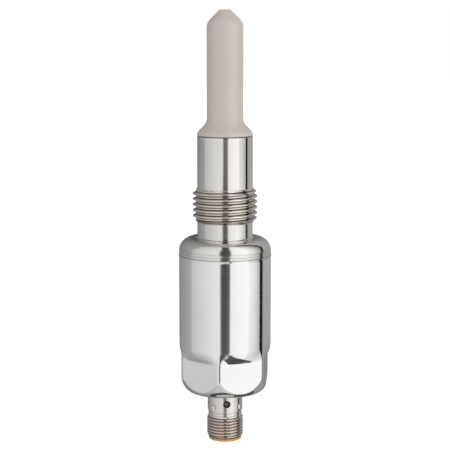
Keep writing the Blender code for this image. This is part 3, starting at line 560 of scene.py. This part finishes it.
def make_object(name, bm, sharp_angle=SHARP_ANGLE):
    bmesh.ops.recalc_face_normals(bm, faces=bm.faces)
    mesh = bpy.data.meshes.new(name)
    bm.to_mesh(mesh)
    bm.free()
    mesh.shade_smooth()
    mesh.set_sharp_from_angle(angle=sharp_angle)
    obj = bpy.data.objects.new(name, mesh)
    bpy.context.scene.collection.objects.link(obj)
    return obj


def dress(obj, mat, slot, *nodes):
    """Give a piece its material and its body, and let it stand for CAD nodes; the slot argument is not
    used.
    """
    obj.data.materials.append(mat)
    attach(obj, "root")
    if nodes:
        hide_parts(*nodes)


def combine(obj, bm, name, operation="DIFFERENCE"):
    """Cut a piece with a helper mesh, or join the two, and drop the helper afterwards."""
    cutter = make_object(name, bm)
    modifier = obj.modifiers.new(name, "BOOLEAN")
    modifier.object = cutter
    modifier.operation = operation
    modifier.solver = "EXACT"
    with bpy.context.temp_override(object=obj, active_object=obj):
        bpy.ops.object.modifier_apply(modifier=modifier.name)
    bpy.data.objects.remove(cutter, do_unlink=True)
    obj.data.set_sharp_from_angle(angle=SHARP_ANGLE)


def cylinder_mesh(bm, radius, length, segments, matrix):
    bmesh.ops.create_cone(
        bm, cap_ends=True, segments=segments, radius1=radius, radius2=radius, depth=length, matrix=matrix
    )


def facing(angle, radius, height):
    """Matrix that puts a shape's +Z on the outward direction at a point round the axis."""
    turn = Matrix.Rotation(angle, 4, "Z") @ Matrix.Rotation(math.pi / 2, 4, "X")
    return Matrix.Translation(around(angle, radius, height)) @ turn


def make_tip(mats):
    rod_r = TIP_ROD_DIAMETER / 2
    end_r = TIP_FLAT_DIAMETER / 2
    foot = joint + GAP / 2
    flare_bottom = foot + FLARE_LIP_HEIGHT
    stub_r = web_hole_r - GAP
    stub_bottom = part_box("probe_tip")[0].z
    bore_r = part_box("electrode")[1].x + GAP
    bore_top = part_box("electrode")[1].z + GAP
    corners = [
        (0.0, tip_end),
        (end_r, tip_end, TIP_EDGE_RADIUS),
        (rod_r, tip_end - (rod_r - end_r), TIP_CONE_RADIUS),
        (rod_r, flare_bottom + barrel_r - rod_r, FLARE_ROOT_RADIUS),
        (barrel_r, flare_bottom, FLARE_RIM_RADIUS),
        (barrel_r, foot, FLARE_FOOT_EDGE),
        (tip_spigot_r, foot),
        (tip_spigot_r, joint - TIP_SEAT_DEPTH + GAP),
        (stub_r, joint - TIP_SEAT_DEPTH + GAP),
        (stub_r, stub_bottom),
        (bore_r, stub_bottom),
        (bore_r, bore_top),
        (0.0, bore_top),
    ]
    bm = bmesh.new()
    lathe(bm, rounded(corners), TIP_SEGMENTS)
    dress(make_object("moulded_tip", bm), mats["tip_plastic"], "tip_plastic", "probe_tip")


def thread_profile():
    """One pitch of the rounded pipe thread: (share of the pitch, height over the root).

    The root is centred on the start of the pitch and the crest on its middle.
    """
    rounding = THREAD_ROUNDING * THREAD_PITCH
    arc = math.pi / 2 - THREAD_HALF_ANGLE
    points = []
    for centre, sign in ((0.0, 1), (0.5, -1)):
        base = 0.0 if sign > 0 else thread_depth
        for step in range(-THREAD_ARC_STEPS, THREAD_ARC_STEPS + 1):
            angle = arc * step / THREAD_ARC_STEPS
            along = rounding * math.sin(angle) / THREAD_PITCH
            points.append((centre + along, base + sign * rounding * (1 - math.cos(angle))))
    return points


def helix_between(bm, low_ring, high_ring, low, high, pitch, profile, phase, radius_at):
    """Right-hand helical surface between two plain rings, row by row of one pitch's profile."""
    segments = len(low_ring)
    turns = math.ceil((high - low) / pitch) + LEAD_TURNS + 1
    made = {}

    def vertex(column, row):
        share, rise = profile[row % len(profile)]
        turn = row // len(profile) + share + column / segments - LEAD_TURNS + phase
        height = low + pitch * turn
        slot = column % segments
        if height < low + THREAD_SNAP:
            return low_ring[slot]
        if height > high - THREAD_SNAP:
            return high_ring[slot]
        key = (slot, row + len(profile) * (column // segments))
        if key not in made:
            angle = math.tau * slot / segments
            made[key] = bm.verts.new(around(angle, radius_at(height, rise), height))
        return made[key]

    for column in range(segments):
        for row in range(turns * len(profile)):
            corners = [
                vertex(column, row),
                vertex(column + 1, row),
                vertex(column + 1, row + 1),
                vertex(column, row + 1),
            ]
            corners = list(dict.fromkeys(corners))
            if len(corners) > 2:
                bm.faces.new(corners)


def process_thread_radius(height, rise):
    """Radius on the pipe thread, cut back by a chamfer at both ends."""
    chamfer = barrel_r + min(height - THREAD_START, thread_top - height)
    return max(barrel_r, min(thread_root_r + rise, chamfer))


def cap_grooves(points, inner_r):
    """Cut the fine grooves above the seam into the outer wall of the cap."""
    grooved = []
    for here, after in zip(points, points[1:] + points[:1]):
        grooved.append(here)
        for height in CAP_GROOVE_HEIGHTS:
            if here[0] > inner_r and here[1] < height < after[1]:
                share = (height - here[1]) / (after[1] - here[1])
                radius = here[0] + (after[0] - here[0]) * share
                grooved.append((radius, height - CAP_GROOVE_WIDTH / 2))
                grooved.append((radius - CAP_GROOVE_DEPTH, height))
                grooved.append((radius, height + CAP_GROOVE_WIDTH / 2))
    return grooved


def make_connection(mats):
    dome_r = housing_r - shoulder_r
    web_top = joint - TIP_SEAT_DEPTH
    spigot_r = cavity_r - GAP
    corners = [
        (barrel_r, thread_top),
        (barrel_r, barrel_end, BARREL_EDGE),
        (tip_seat_r, barrel_end),
        (tip_seat_r, web_top),
        (web_hole_r, web_top),
        (web_hole_r, web_top - WEB_THICKNESS),
        (lower_bore_r, web_top - WEB_THICKNESS),
        (lower_bore_r, -CAP_ROOF_THICKNESS),
        (spigot_r - SPIGOT_WALL, -CAP_ROOF_THICKNESS - CAP_CAVITY_SLOPE),
        (spigot_r - SPIGOT_WALL, spigot_bottom),
        (spigot_r, spigot_bottom),
        (spigot_r, cap_bottom),
        (housing_r, cap_bottom, CAP_EDGE),
        (housing_r, 0.0, dome_r),
        (barrel_r, 0.0, NECK_FILLET),
        (barrel_r, THREAD_START),
    ]
    bm = bmesh.new()
    rings = lathe(bm, cap_grooves(rounded(corners), spigot_r), BARREL_SEGMENTS, closed=False)
    helix_between(
        bm, rings[-1], rings[0], THREAD_START, thread_top, THREAD_PITCH, thread_profile(), THREAD_PHASE,
        process_thread_radius
    )
    obj = make_object("threaded_connection", bm)
    dress(obj, mats["turned_steel"], "turned_steel", "process_connection")
    obj.data.materials.append(mats["barrel_steel"])
    # Thread faces: steel with painted shade and painted reflections in its colour.
    obj.data.materials.append(mats["painted_shade_thread_steel"])
    for face in obj.data.polygons:
        if face.center.z > thread_top:
            face.material_index = 1
        elif face.center.z > THREAD_START:
            face.material_index = 2


def hexagon_radius(angle):
    """Radius of the rounded hexagon at an angle from the axis of the nearest flat."""
    corner = math.pi / FLAT_COUNT
    if flat_r * math.tan(abs(angle)) <= (flat_r - RIDGE_RADIUS) * math.tan(corner):
        return flat_r / math.cos(angle)
    centre = (flat_r - RIDGE_RADIUS) / math.cos(corner)
    away = corner - abs(angle)
    return centre * math.cos(away) + math.sqrt(RIDGE_RADIUS**2 - (centre * math.sin(away)) ** 2)


def smooth_min(first, second, blend):
    """Minimum of two values with a rounded change from one to the other."""
    share = max(0.0, min(1.0, 0.5 + 0.5 * (second - first) / blend))
    return second + (first - second) * share - blend * share * (1 - share)


def formed_share(height):
    """How far the round can has become a hexagon: an arc from the round part, then full."""
    if height > form_top:
        return 0.0
    if height < flat_top - FORM_LENGTH:
        return 1.0
    arc_r = (FLAT_DEPTH**2 + FORM_LENGTH**2) / (2 * FLAT_DEPTH)
    down = min(form_top - height, arc_r)
    arc = (arc_r - math.sqrt(arc_r**2 - down**2)) / FLAT_DEPTH
    return smooth_min(arc, 1.0, FORM_BLEND)


def bottom_limit(height):
    """Largest radius that the rounded bottom leaves at a height, along a superellipse."""
    down = min(1.0, max(0.0, (bottom_start - height) / BOTTOM_CURVE_HEIGHT))
    width = BOTTOM_MARGIN + BOTTOM_SPREAD
    return bottom_face_r + width * (1 - down**BOTTOM_CURVE_POWER) ** (1 / BOTTOM_CURVE_POWER)


def lip_profile():
    """Radius and height down the flared lip that the can has at the seam."""
    corners = [
        (cavity_r, can_top),
        (housing_r + LIP_RISE, can_top, LIP_EDGE),
        (housing_r, can_top - LIP_HEIGHT),
    ]
    return rounded(corners)[1:]


def can_heights():
    """Heights of the rows below the lip, closer together where the bottom curves in."""
    lip_end = can_top - LIP_HEIGHT
    heights = [lip_end - WALL_ROW, (lip_end + form_top) / 2, form_top]
    steps = round(FORM_LENGTH / WALL_ROW)
    heights += [form_top - FORM_LENGTH * step / steps for step in range(1, steps)]
    power = 2 / BOTTOM_CURVE_POWER
    first = math.asin(((bottom_start - flat_top) / BOTTOM_CURVE_HEIGHT) ** (1 / power))
    for step in range(BOTTOM_STEPS):
        angle = first + (math.pi / 2 - first) * step / BOTTOM_STEPS
        heights.append(bottom_start - BOTTOM_CURVE_HEIGHT * math.sin(angle) ** power)
    return heights + [can_bottom]


def can_angles():
    """Columns round the can as (axis of the flat, angle from it), closer together near the ridges."""
    half_sector = math.pi / FLAT_COUNT
    angles = []
    for index in range(FLAT_COUNT):
        for step in range(CAN_SECTOR_STEPS):
            share = 2 * step / CAN_SECTOR_STEPS - 1
            spread = (1 + RIDGE_CROWDING) * share - RIDGE_CROWDING * share**3
            angles.append((2 * half_sector * index, spread * half_sector))
    return angles


def make_can(mats):
    """Deep can: round above, pressed to a hexagon low down, with a rounded bottom."""
    angles = can_angles()
    can_floor = can_bottom + HOUSING_FLOOR
    inside = [
        (collar_r + GAP, can_bottom),
        (collar_r + GAP, can_floor),
        (flange_r + FLOOR_MARGIN, can_floor),
        (cavity_r, can_floor + FLOOR_INNER_RISE),
        (cavity_r, can_top),
    ]
    bm = bmesh.new()

    def round_ring(radius, height):
        return [bm.verts.new(around(axis + angle, radius, height)) for axis, angle in angles]

    rings = [round_ring(radius, height) for radius, height in lip_profile()]
    for height in can_heights():
        share = formed_share(height)
        limit = bottom_limit(height)
        verts = []
        for axis, angle in angles:
            formed = housing_r + (hexagon_radius(angle) - housing_r) * share
            radius = smooth_min(formed, limit, BOTTOM_EDGE)
            verts.append(bm.verts.new(around(axis + angle, radius, height)))
        rings.append(verts)
    rings += [round_ring(radius, height) for radius, height in inside]
    for first, second in zip(rings, rings[1:] + rings[:1]):
        bridge(bm, first, second)
    can = make_object("formed_can", bm, CAN_SHARP_ANGLE)
    dress(can, mats["polished_steel"], "polished_steel", "housing_can")


def plug_thread_radius(height, rise):
    """Radius on the plug's fine thread, with a chamfer at both ends."""
    low_end = height - shell_end + plug_crest_r - PLUG_CHAMFER
    high_end = relief_bottom - height + relief_r
    return max(plug_root_r, min(plug_root_r + rise, low_end, high_end))


def plug_thread_profile():
    """One pitch of the plug's thread: (share of the pitch, height over the root)."""
    flank = (1.0 - 2 * PLUG_CREST_SHARE) / 2
    fall_start = 2 * PLUG_CREST_SHARE + flank
    return [
        (0.0, 0.0),
        (PLUG_CREST_SHARE, 0.0),
        (PLUG_CREST_SHARE + flank / 2, PLUG_DEPTH / 2),
        (PLUG_CREST_SHARE + flank, PLUG_DEPTH),
        (fall_start, PLUG_DEPTH),
        (fall_start + flank / 2, PLUG_DEPTH / 2),
    ]


def collar_rows():
    """Plain rows down the collar, which keep its faces short."""
    return [
        (collar_r, can_bottom + (collar_bottom - can_bottom) * step / COLLAR_ROWS)
        for step in range(1, COLLAR_ROWS)
    ]


def relief_rings():
    """Fine V-shaped rings in the relief between the collar and the thread."""
    rings = []
    for drop in RELIEF_RING_DROPS:
        for radius, side in ((relief_r, 1), (relief_r - RELIEF_RING_DEPTH, 0), (relief_r, -1)):
            rings.append((radius, collar_bottom - drop + side * RELIEF_RING_DEPTH))
    return rings


def cut_collar(shell):
    """Cut the light windows into the collar, and the crimp stakes midway between them."""
    windows = bmesh.new()
    stakes = bmesh.new()
    tool_length = collar_r / 2
    tool_r = STAKE_TOOL_DIAMETER / 2
    for index in range(WINDOW_COUNT):
        angle = WINDOW_ANGLE + math.tau * index / WINDOW_COUNT
        place = facing(angle, collar_r, can_bottom - WINDOW_DROP)
        cylinder_mesh(windows, WINDOW_DIAMETER / 2, tool_length, LENS_SEGMENTS, place)
        angle += math.pi / WINDOW_COUNT
        place = facing(angle, collar_r + tool_r - STAKE_DEPTH, can_bottom - STAKE_DROP)
        bmesh.ops.create_uvsphere(
            stakes, u_segments=LENS_SEGMENTS, v_segments=LENS_SEGMENTS, radius=tool_r, matrix=place
        )
    combine(shell, windows, "window_tool")
    combine(shell, stakes, "stake_tool")


def make_connector(mats):
    flange_bottom = flange_top - SHELL_FLANGE_HEIGHT
    corners = [
        (plug_crest_r - PLUG_CHAMFER, shell_end),
        (shell_bore_r, shell_end),
        (shell_bore_r, flange_top),
        (flange_r, flange_top, CONNECTOR_EDGE),
        (flange_r, flange_bottom, CONNECTOR_EDGE),
        (collar_r, flange_bottom),
        *collar_rows(),
        (collar_r, collar_bottom, CONNECTOR_EDGE),
        (relief_r, collar_bottom),
        *relief_rings(),
        (relief_r, relief_bottom),
    ]
    bm = bmesh.new()
    rings = lathe(bm, rounded(corners), CONNECTOR_SEGMENTS, closed=False)
    helix_between(
        bm, rings[0], rings[-1], shell_end, relief_bottom, PLUG_PITCH, plug_thread_profile(),
        PLUG_PHASE, plug_thread_radius
    )
    shell = make_object("plug_shell", bm)
    cut_collar(shell)
    dress(shell, mats["plug_steel"], "turned_steel", "connector_shell")
    # Plug thread faces: steel with painted shade towards the roots.
    shell.data.materials.append(mats["plug_painted_shade_thread_steel"])
    for face in shell.data.polygons:
        if face.center.z < relief_bottom and face.center.xy.length > shell_bore_r:
            face.material_index = 1


def make_carrier(mats):
    """Amber moulding with the socket, its key and the pin holes."""
    socket_floor = rim_bottom + SOCKET_DEPTH
    rim_top = shell_end - GAP
    corners = [
        (0.0, led_recess_floor),
        (led_recess_r, led_recess_floor),
        (led_recess_r, flange_top),
        (carrier_r, flange_top),
        (carrier_r, rim_top),
        (CARRIER_RIM_DIAMETER / 2, rim_top, CARRIER_RIM_TOP_EDGE),
        (CARRIER_RIM_DIAMETER / 2, rim_bottom, CARRIER_RIM_EDGE),
        (socket_r, rim_bottom, CONNECTOR_EDGE),
        (socket_r, socket_floor),
        (0.0, socket_floor),
    ]
    bm = bmesh.new()
    lathe(bm, rounded(corners), CONNECTOR_SEGMENTS)
    carrier = make_object("socket_moulding", bm)
    holes = bmesh.new()
    tool_length = 4 * SOCKET_DEPTH
    for index in range(PIN_COUNT):
        place = Matrix.Translation(around(math.tau * index / PIN_COUNT, pin_circle_r, flange_top))
        cylinder_mesh(holes, pin_r + GAP, tool_length, PIN_SEGMENTS, place)
    combine(carrier, holes, "pin_tool")
    sunk = (carrier_r - socket_r) / 2
    key_length = SOCKET_DEPTH - CARRIER_RIM_EDGE
    key_r = socket_r + (sunk - SOCKET_KEY_DEPTH) / 2
    place = Matrix.Translation(around(SOCKET_KEY_ANGLE, key_r, socket_floor + sunk - key_length / 2))
    place @= Matrix.Rotation(SOCKET_KEY_ANGLE, 4, "Z")
    place @= Matrix.Diagonal((SOCKET_KEY_WIDTH, SOCKET_KEY_DEPTH + sunk, key_length, 1.0))
    key = bmesh.new()
    bmesh.ops.create_cube(key, size=1.0, matrix=place)
    combine(carrier, key, "key_tool", "UNION")
    dress(carrier, mats["amber_plastic"], "amber_plastic", "contact_carrier")


def lens_profile():
    """Light guide along its window's own axis: a flat flange, then the crowned end."""
    lens_r = LENS_DIAMETER / 2
    flange = WINDOW_DIAMETER / 2 - LENS_FLANGE_GAP
    crown_r = (lens_r**2 + LENS_CROWN**2) / (2 * LENS_CROWN)
    low = carrier_r - collar_r + LENS_FLANGE_GAP
    profile = [(0.0, low), (flange, low), (flange, -LENS_FLANGE_SINK), (lens_r, -LENS_FLANGE_SINK)]
    spread = math.asin(lens_r / crown_r)
    for step in range(LENS_STEPS, -1, -1):
        angle = spread * step / LENS_STEPS
        rise = crown_r * math.cos(angle) - crown_r * math.cos(spread)
        radius = crown_r * math.sin(angle) if step else 0.0
        profile.append((radius, -LENS_SINK - LENS_CROWN + rise))
    return profile


def make_window_lenses(mats):
    """Ends of the light guides, one in each window of the collar; their flanges are near-black as
    painted shade round the rim of each window.
    """
    profile = lens_profile()
    for index in range(WINDOW_COUNT):
        angle = WINDOW_ANGLE + math.tau * index / WINDOW_COUNT
        bm = bmesh.new()
        lathe(bm, profile, LENS_SEGMENTS, closed=False)
        # Faces of the flange take the second slot, the near-black of the seal rubber, which paints the
        # shade in the window's rim.
        for face in bm.faces:
            face.material_index = int(face.calc_center_median().xy.length > LENS_DIAMETER / 2)
        bm.transform(facing(angle, collar_r, can_bottom - WINDOW_DROP))
        lens = make_object(f"window_lens_{index + 1}", bm)
        dress(lens, mats["window_lens"], "amber_plastic")
        lens.data.materials.append(mats["seal_rubber"])


def make_pins(mats):
    for index in range(PIN_COUNT):
        name = f"contact_pin_{index + 1}"
        low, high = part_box(name)
        centre = (low + high) / 2
        corners = [(0.0, low.z), (pin_r, low.z, PIN_NOSE), (pin_r, high.z), (0.0, high.z)]
        bm = bmesh.new()
        lathe(bm, rounded(corners), PIN_SEGMENTS)
        bm.transform(Matrix.Translation((centre.x, centre.y, 0.0)))
        dress(make_object(f"round_nosed_pin_{index + 1}", bm), mats["gold_plate"], "gold_plate", name)


def dress_inner_nodes(mats):
    """Procedural materials for the CAD nodes that stay as they are."""
    slots = {
        "seal_rubber": ("carrier_seal", "tip_seal"),
        "bare_brass": ("tip_nut", "electrode", "spring_contact"),
        "insulator": ("electrode_sleeve",),
        "spring_steel": ("contact_spring",),
        "circuit_board": ("main_board", "connector_board"),
        "carrier_plastic": ("board_carrier",),
        "led_lens": tuple(f"status_led_{index + 1}" for index in range(LED_COUNT)),
        "chip_plastic": ("controller_chip", "measuring_chip", "voltage_regulator"),
        "tinned_metal": ("clock_crystal", "storage_capacitor_1", "storage_capacitor_2"),
        "ferrite": ("power_choke",),
        "ceramic": ("ceramic_capacitor_1", "ceramic_capacitor_2"),
    }
    for name, nodes in slots.items():
        for node in nodes:
            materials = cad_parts[node].data.materials
            materials.clear()
            materials.append(mats[name])


def card_material(name, levels, rise, fill):
    """Light levels along a card, times factors up its rows, with more strength for soft light."""
    mat = bpy.data.materials.new(name)
    mat.use_nodes = True
    tree = mat.node_tree
    tree.nodes.clear()
    coords = add_node(tree, "ShaderNodeTexCoord")
    split = add_node(tree, "ShaderNodeSeparateXYZ")
    tree.links.new(coords.outputs["UV"], split.inputs["Vector"])
    product = add_node(tree, "ShaderNodeVectorMath", operation="MULTIPLY")
    for index, (axis, values) in enumerate((("X", levels), ("Y", rise))):
        stops = [(place / (len(values) - 1), (value,) * 3) for place, value in enumerate(values)]
        tree.links.new(ramp(tree, split.outputs[axis], stops), product.inputs[index])
    paths = add_node(tree, "ShaderNodeLightPath")
    strength = add_node(tree, "ShaderNodeMapRange", To_Min=1.0, To_Max=fill)
    tree.links.new(paths.outputs["Is Diffuse Ray"], strength.inputs["Value"])
    emission = add_node(tree, "ShaderNodeEmission")
    output = add_node(tree, "ShaderNodeOutputMaterial")
    tree.links.new(product.outputs["Vector"], emission.inputs["Color"])
    tree.links.new(strength.outputs["Result"], emission.inputs["Strength"])
    tree.links.new(emission.outputs["Emission"], output.inputs["Surface"])
    return mat


def make_card(name, rows, levels, rise=(1.0, 1.0), fill=CARD_FILL):
    """Studio card through rows of (radius, height, start, end), in degrees from the camera."""
    bm = bmesh.new()
    layer = bm.loops.layers.uv.new("UVMap")
    lines = []
    for radius, height, start, end in rows:
        line = []
        for step in range(CARD_STEPS + 1):
            angle = CAMERA_TURN + math.radians(start + (end - start) * step / CARD_STEPS)
            line.append(bm.verts.new(around(angle, radius, height)))
        lines.append(line)
    last = len(rows) - 1
    for row in range(last):
        for step in range(CARD_STEPS):
            places = ((step, row), (step + 1, row), (step + 1, row + 1), (step, row + 1))
            face = bm.faces.new([lines[up][along] for along, up in places])
            for loop, (along, up) in zip(face.loops, places):
                loop[layer].uv = (along / CARD_STEPS, up / last)
    mesh = bpy.data.meshes.new(name)
    bm.to_mesh(mesh)
    bm.free()
    mesh.materials.append(card_material(name, levels, rise, fill))
    card = bpy.data.objects.new(name, mesh)
    card.visible_camera = False
    card.visible_shadow = False
    bpy.context.scene.collection.objects.link(card)


def make_sector(name, start, end, levels, rise, fill):
    """Card over the floor, up the wall and over the top, between two angles."""
    rows = [(radius, height, start, end) for radius, height in CARD_ROWS]
    make_card(name, rows, levels, rise, fill)


def background_rays(tree):
    """1 for camera, glossy and transmission rays, else 0."""
    paths = add_node(tree, "ShaderNodeLightPath")
    first = add_node(tree, "ShaderNodeMath", operation="MAXIMUM")
    second = add_node(tree, "ShaderNodeMath", operation="MAXIMUM")
    tree.links.new(paths.outputs["Is Camera Ray"], first.inputs[0])
    tree.links.new(paths.outputs["Is Glossy Ray"], first.inputs[1])
    tree.links.new(first.outputs["Value"], second.inputs[0])
    tree.links.new(paths.outputs["Is Transmission Ray"], second.inputs[1])
    return second.outputs["Value"]


def make_world():
    world = bpy.data.worlds.new("studio_world")
    bpy.context.scene.world = world
    world.use_nodes = True
    tree = world.node_tree
    background = tree.nodes["Background"]
    background.inputs["Color"].default_value = WHITE
    rays = background_rays(tree)
    level = add_node(
        tree, "ShaderNodeMapRange", To_Min=WORLD_SOFT_LIGHT, To_Max=WORLD_BACKGROUND
    )
    tree.links.new(rays, level.inputs["Value"])
    tree.links.new(level.outputs["Result"], background.inputs["Strength"])


def make_floor():
    """Pale floor that shows as the white background and still takes the part's shadow."""
    bm = bmesh.new()
    bmesh.ops.create_grid(bm, x_segments=2, y_segments=2, size=FLOOR_SIZE / 2)
    mesh = bpy.data.meshes.new("studio_floor")
    bm.to_mesh(mesh)
    bm.free()
    floor = bpy.data.objects.new("studio_floor", mesh)
    floor.location.z = FLOOR_HEIGHT
    bpy.context.scene.collection.objects.link(floor)
    mat, tree, shader = node_material("studio_floor")
    paper = drift(tree, EVEN_STRETCH, PAPER_DRIFT, NOISE_SPAN, FLOOR_DARK, FLOOR_LIGHT)
    tree.links.new(paper, shader.inputs["Base Color"])
    set_shader(mat, Roughness=FLOOR_ROUGHNESS, Emission_Color=WHITE)
    level = add_node(tree, "ShaderNodeMapRange", To_Min=0.0, To_Max=FLOOR_GLOW)
    tree.links.new(background_rays(tree), level.inputs["Value"])
    tree.links.new(level.outputs["Result"], shader.inputs["Emission Strength"])
    mesh.materials.append(mat)


def make_sectors():
    """Softboxes and grey walls all round the part, brightest on the right.

    Levels run from left to right, and each rise has one factor for each row of CARD_ROWS.
    """
    grey_rise = (0.8, 0.9, 1.0, 1.0, 0.85, 1.0, 1.0, 0.9)
    grey_levels = (0.10, 0.28, 0.36, 0.46)
    make_sector("left_grey_wall", -BEHIND, LEFT_EDGE, grey_levels, grey_rise, fill=1.2)
    left_rise = (0.62, 0.75, 0.95, 1.0, 0.92, 1.05, 1.08, 0.95)
    left_levels = (0.60, 0.74, 0.88, 0.95)
    make_sector("left_softbox", LEFT_EDGE, FRONT_EDGE, left_levels, left_rise, fill=1.3)
    right_rise = (0.95, 0.95, 1.0, 1.0, 1.0, 1.12, 1.12, 1.0)
    right_levels = (0.95, 1.0, 1.05, 1.10, 1.12)
    make_sector("right_softbox", FRONT_EDGE, RIGHT_EDGE, right_levels, right_rise, fill=1.5)
    fall_rise = (0.85, 0.85, 0.8, 1.0, 0.8, 1.1, 1.1, 0.9)
    fall_levels = (1.12, 0.85, 0.42)
    make_sector("right_falloff", RIGHT_EDGE, FALLOFF_EDGE, fall_levels, fall_rise, fill=1.5)
    far_rise = (0.8, 0.75, 0.65, 1.0, 0.95, 1.0, 1.0, 0.9)
    far_levels = (0.42, 0.46, 0.42, 0.18)
    make_sector("right_grey_wall", FALLOFF_EDGE, BEHIND, far_levels, far_rise, fill=1.4)
    ceiling_rows = [(radius, CEILING_HEIGHT, *ALL_ROUND) for radius in (DISC_HOLE, CEILING_OPENING)]
    make_card("ceiling_disc", ceiling_rows, (CEILING_LEVEL, CEILING_LEVEL))


def make_black_flag():
    """Black flag on the right, from the floor up the wall and over the top."""
    rows = [
        (FLAG_FLOOR_REACH, FLAG_FLOOR, 97.0, 109.0),
        (FLAG_RING, FLAG_FLOOR, 96.0, 108.0),
        (FLAG_RING, WALL_LOW, 96.0, 108.0),
        (FLAG_RING, WALL_MIDDLE, 94.0, 106.0),
        (FLAG_RING, WALL_HIGH, 109.0, 121.0),
        (FLAG_RING, FLAG_TOP, 112.0, 127.0),
        (FLAG_TOP_REACH, FLAG_TOP, 112.0, 132.0),
    ]
    make_card("right_black_flag", rows, (FLAG_LEVEL, FLAG_LEVEL))


def make_camera_gap():
    """Dark gap between the softboxes, where the camera stands."""
    rows = [
        (FLAG_RING, FLAG_FLOOR, -8.0, 13.0),
        (FLAG_RING, WALL_FOOT, -12.0, 12.0),
        (FLAG_RING, WALL_LOW, -12.0, 13.0),
        (FLAG_RING, WALL_MIDDLE, -9.0, 13.5),
        (FLAG_RING, WALL_HIGH, -15.0, 16.0),
        (FLAG_RING, FLAG_TOP, -14.0, 18.0),
        (GAP_TOP_REACH, FLAG_TOP, -17.0, 22.0),
        (CEILING_OPENING, FLAG_TOP, -30.0, 34.0),
    ]
    rise = (1.5, 0.6, 0.45, 1.1, 0.35, 0.3, 0.3, 0.35)
    make_card("camera_gap", rows, (0.7, 0.16, 0.15, 0.17, 0.22, 0.6), rise)


def make_floor_mark(name, level, *rows):
    """Mark of one tone on the floor, through rows of (radius, start, end)."""
    flat_rows = [(radius, FLAG_FLOOR, start, end) for radius, start, end in rows]
    make_card(name, flat_rows, (level, level))


def make_floor_marks():
    """Dark and grey marks on the floor, which the metal reflects."""
    strip_rows = []
    for step in range(STRIP_STEPS + 1):
        radius = STRIP_LEFT + (FLAG_RING - STRIP_LEFT) * (step / STRIP_STEPS) ** 2
        left = math.degrees(math.asin(STRIP_LEFT / radius))
        right = math.degrees(math.asin(min(1.0, STRIP_RIGHT / radius)))
        strip_rows.append((radius, left, right))
    make_floor_mark("floor_dark_strip", STRIP_LEVEL, *strip_rows)
    make_floor_mark(
        "floor_dark_arc", 0.06, (0.12, 80.0, 140.0), (0.18, 105.0, 150.0), (0.28, 120.0, 145.0)
    )
    make_floor_mark("floor_dark_ring", RING_LEVEL, (RING_INNER, *ALL_ROUND), (RING_OUTER, *ALL_ROUND))
    make_floor_mark("floor_grey_disc", DISC_LEVEL, (DISC_HOLE, *ALL_ROUND), (RING_INNER, *ALL_ROUND))
    make_floor_mark("floor_dark_line", 0.2, (0.24, -85.0, -25.0), (0.28, -80.0, -30.0))


def make_camera():
    data = bpy.data.cameras.new("studio_camera")
    data.lens = CAMERA_LENS
    data.sensor_width = SENSOR_WIDTH
    data.clip_start = CLIP_START
    data.clip_end = CLIP_END
    camera = bpy.data.objects.new("studio_camera", data)
    camera.location = around(CAMERA_TURN, CAMERA_DISTANCE, CAMERA_HEIGHT)
    camera.rotation_euler = (math.pi / 2 - CAMERA_TILT, 0.0, CAMERA_TURN)
    bpy.context.scene.collection.objects.link(camera)
    bpy.context.scene.camera = camera


def main():
    mats = make_materials()
    make_camera()
    make_tip(mats)
    make_connection(mats)
    make_can(mats)
    make_connector(mats)
    make_carrier(mats)
    make_window_lenses(mats)
    make_pins(mats)
    dress_inner_nodes(mats)
    make_world()
    make_floor()
    make_sectors()
    make_black_flag()
    make_camera_gap()
    make_floor_marks()
    bpy.context.scene.view_settings.view_transform = "Standard"


main()
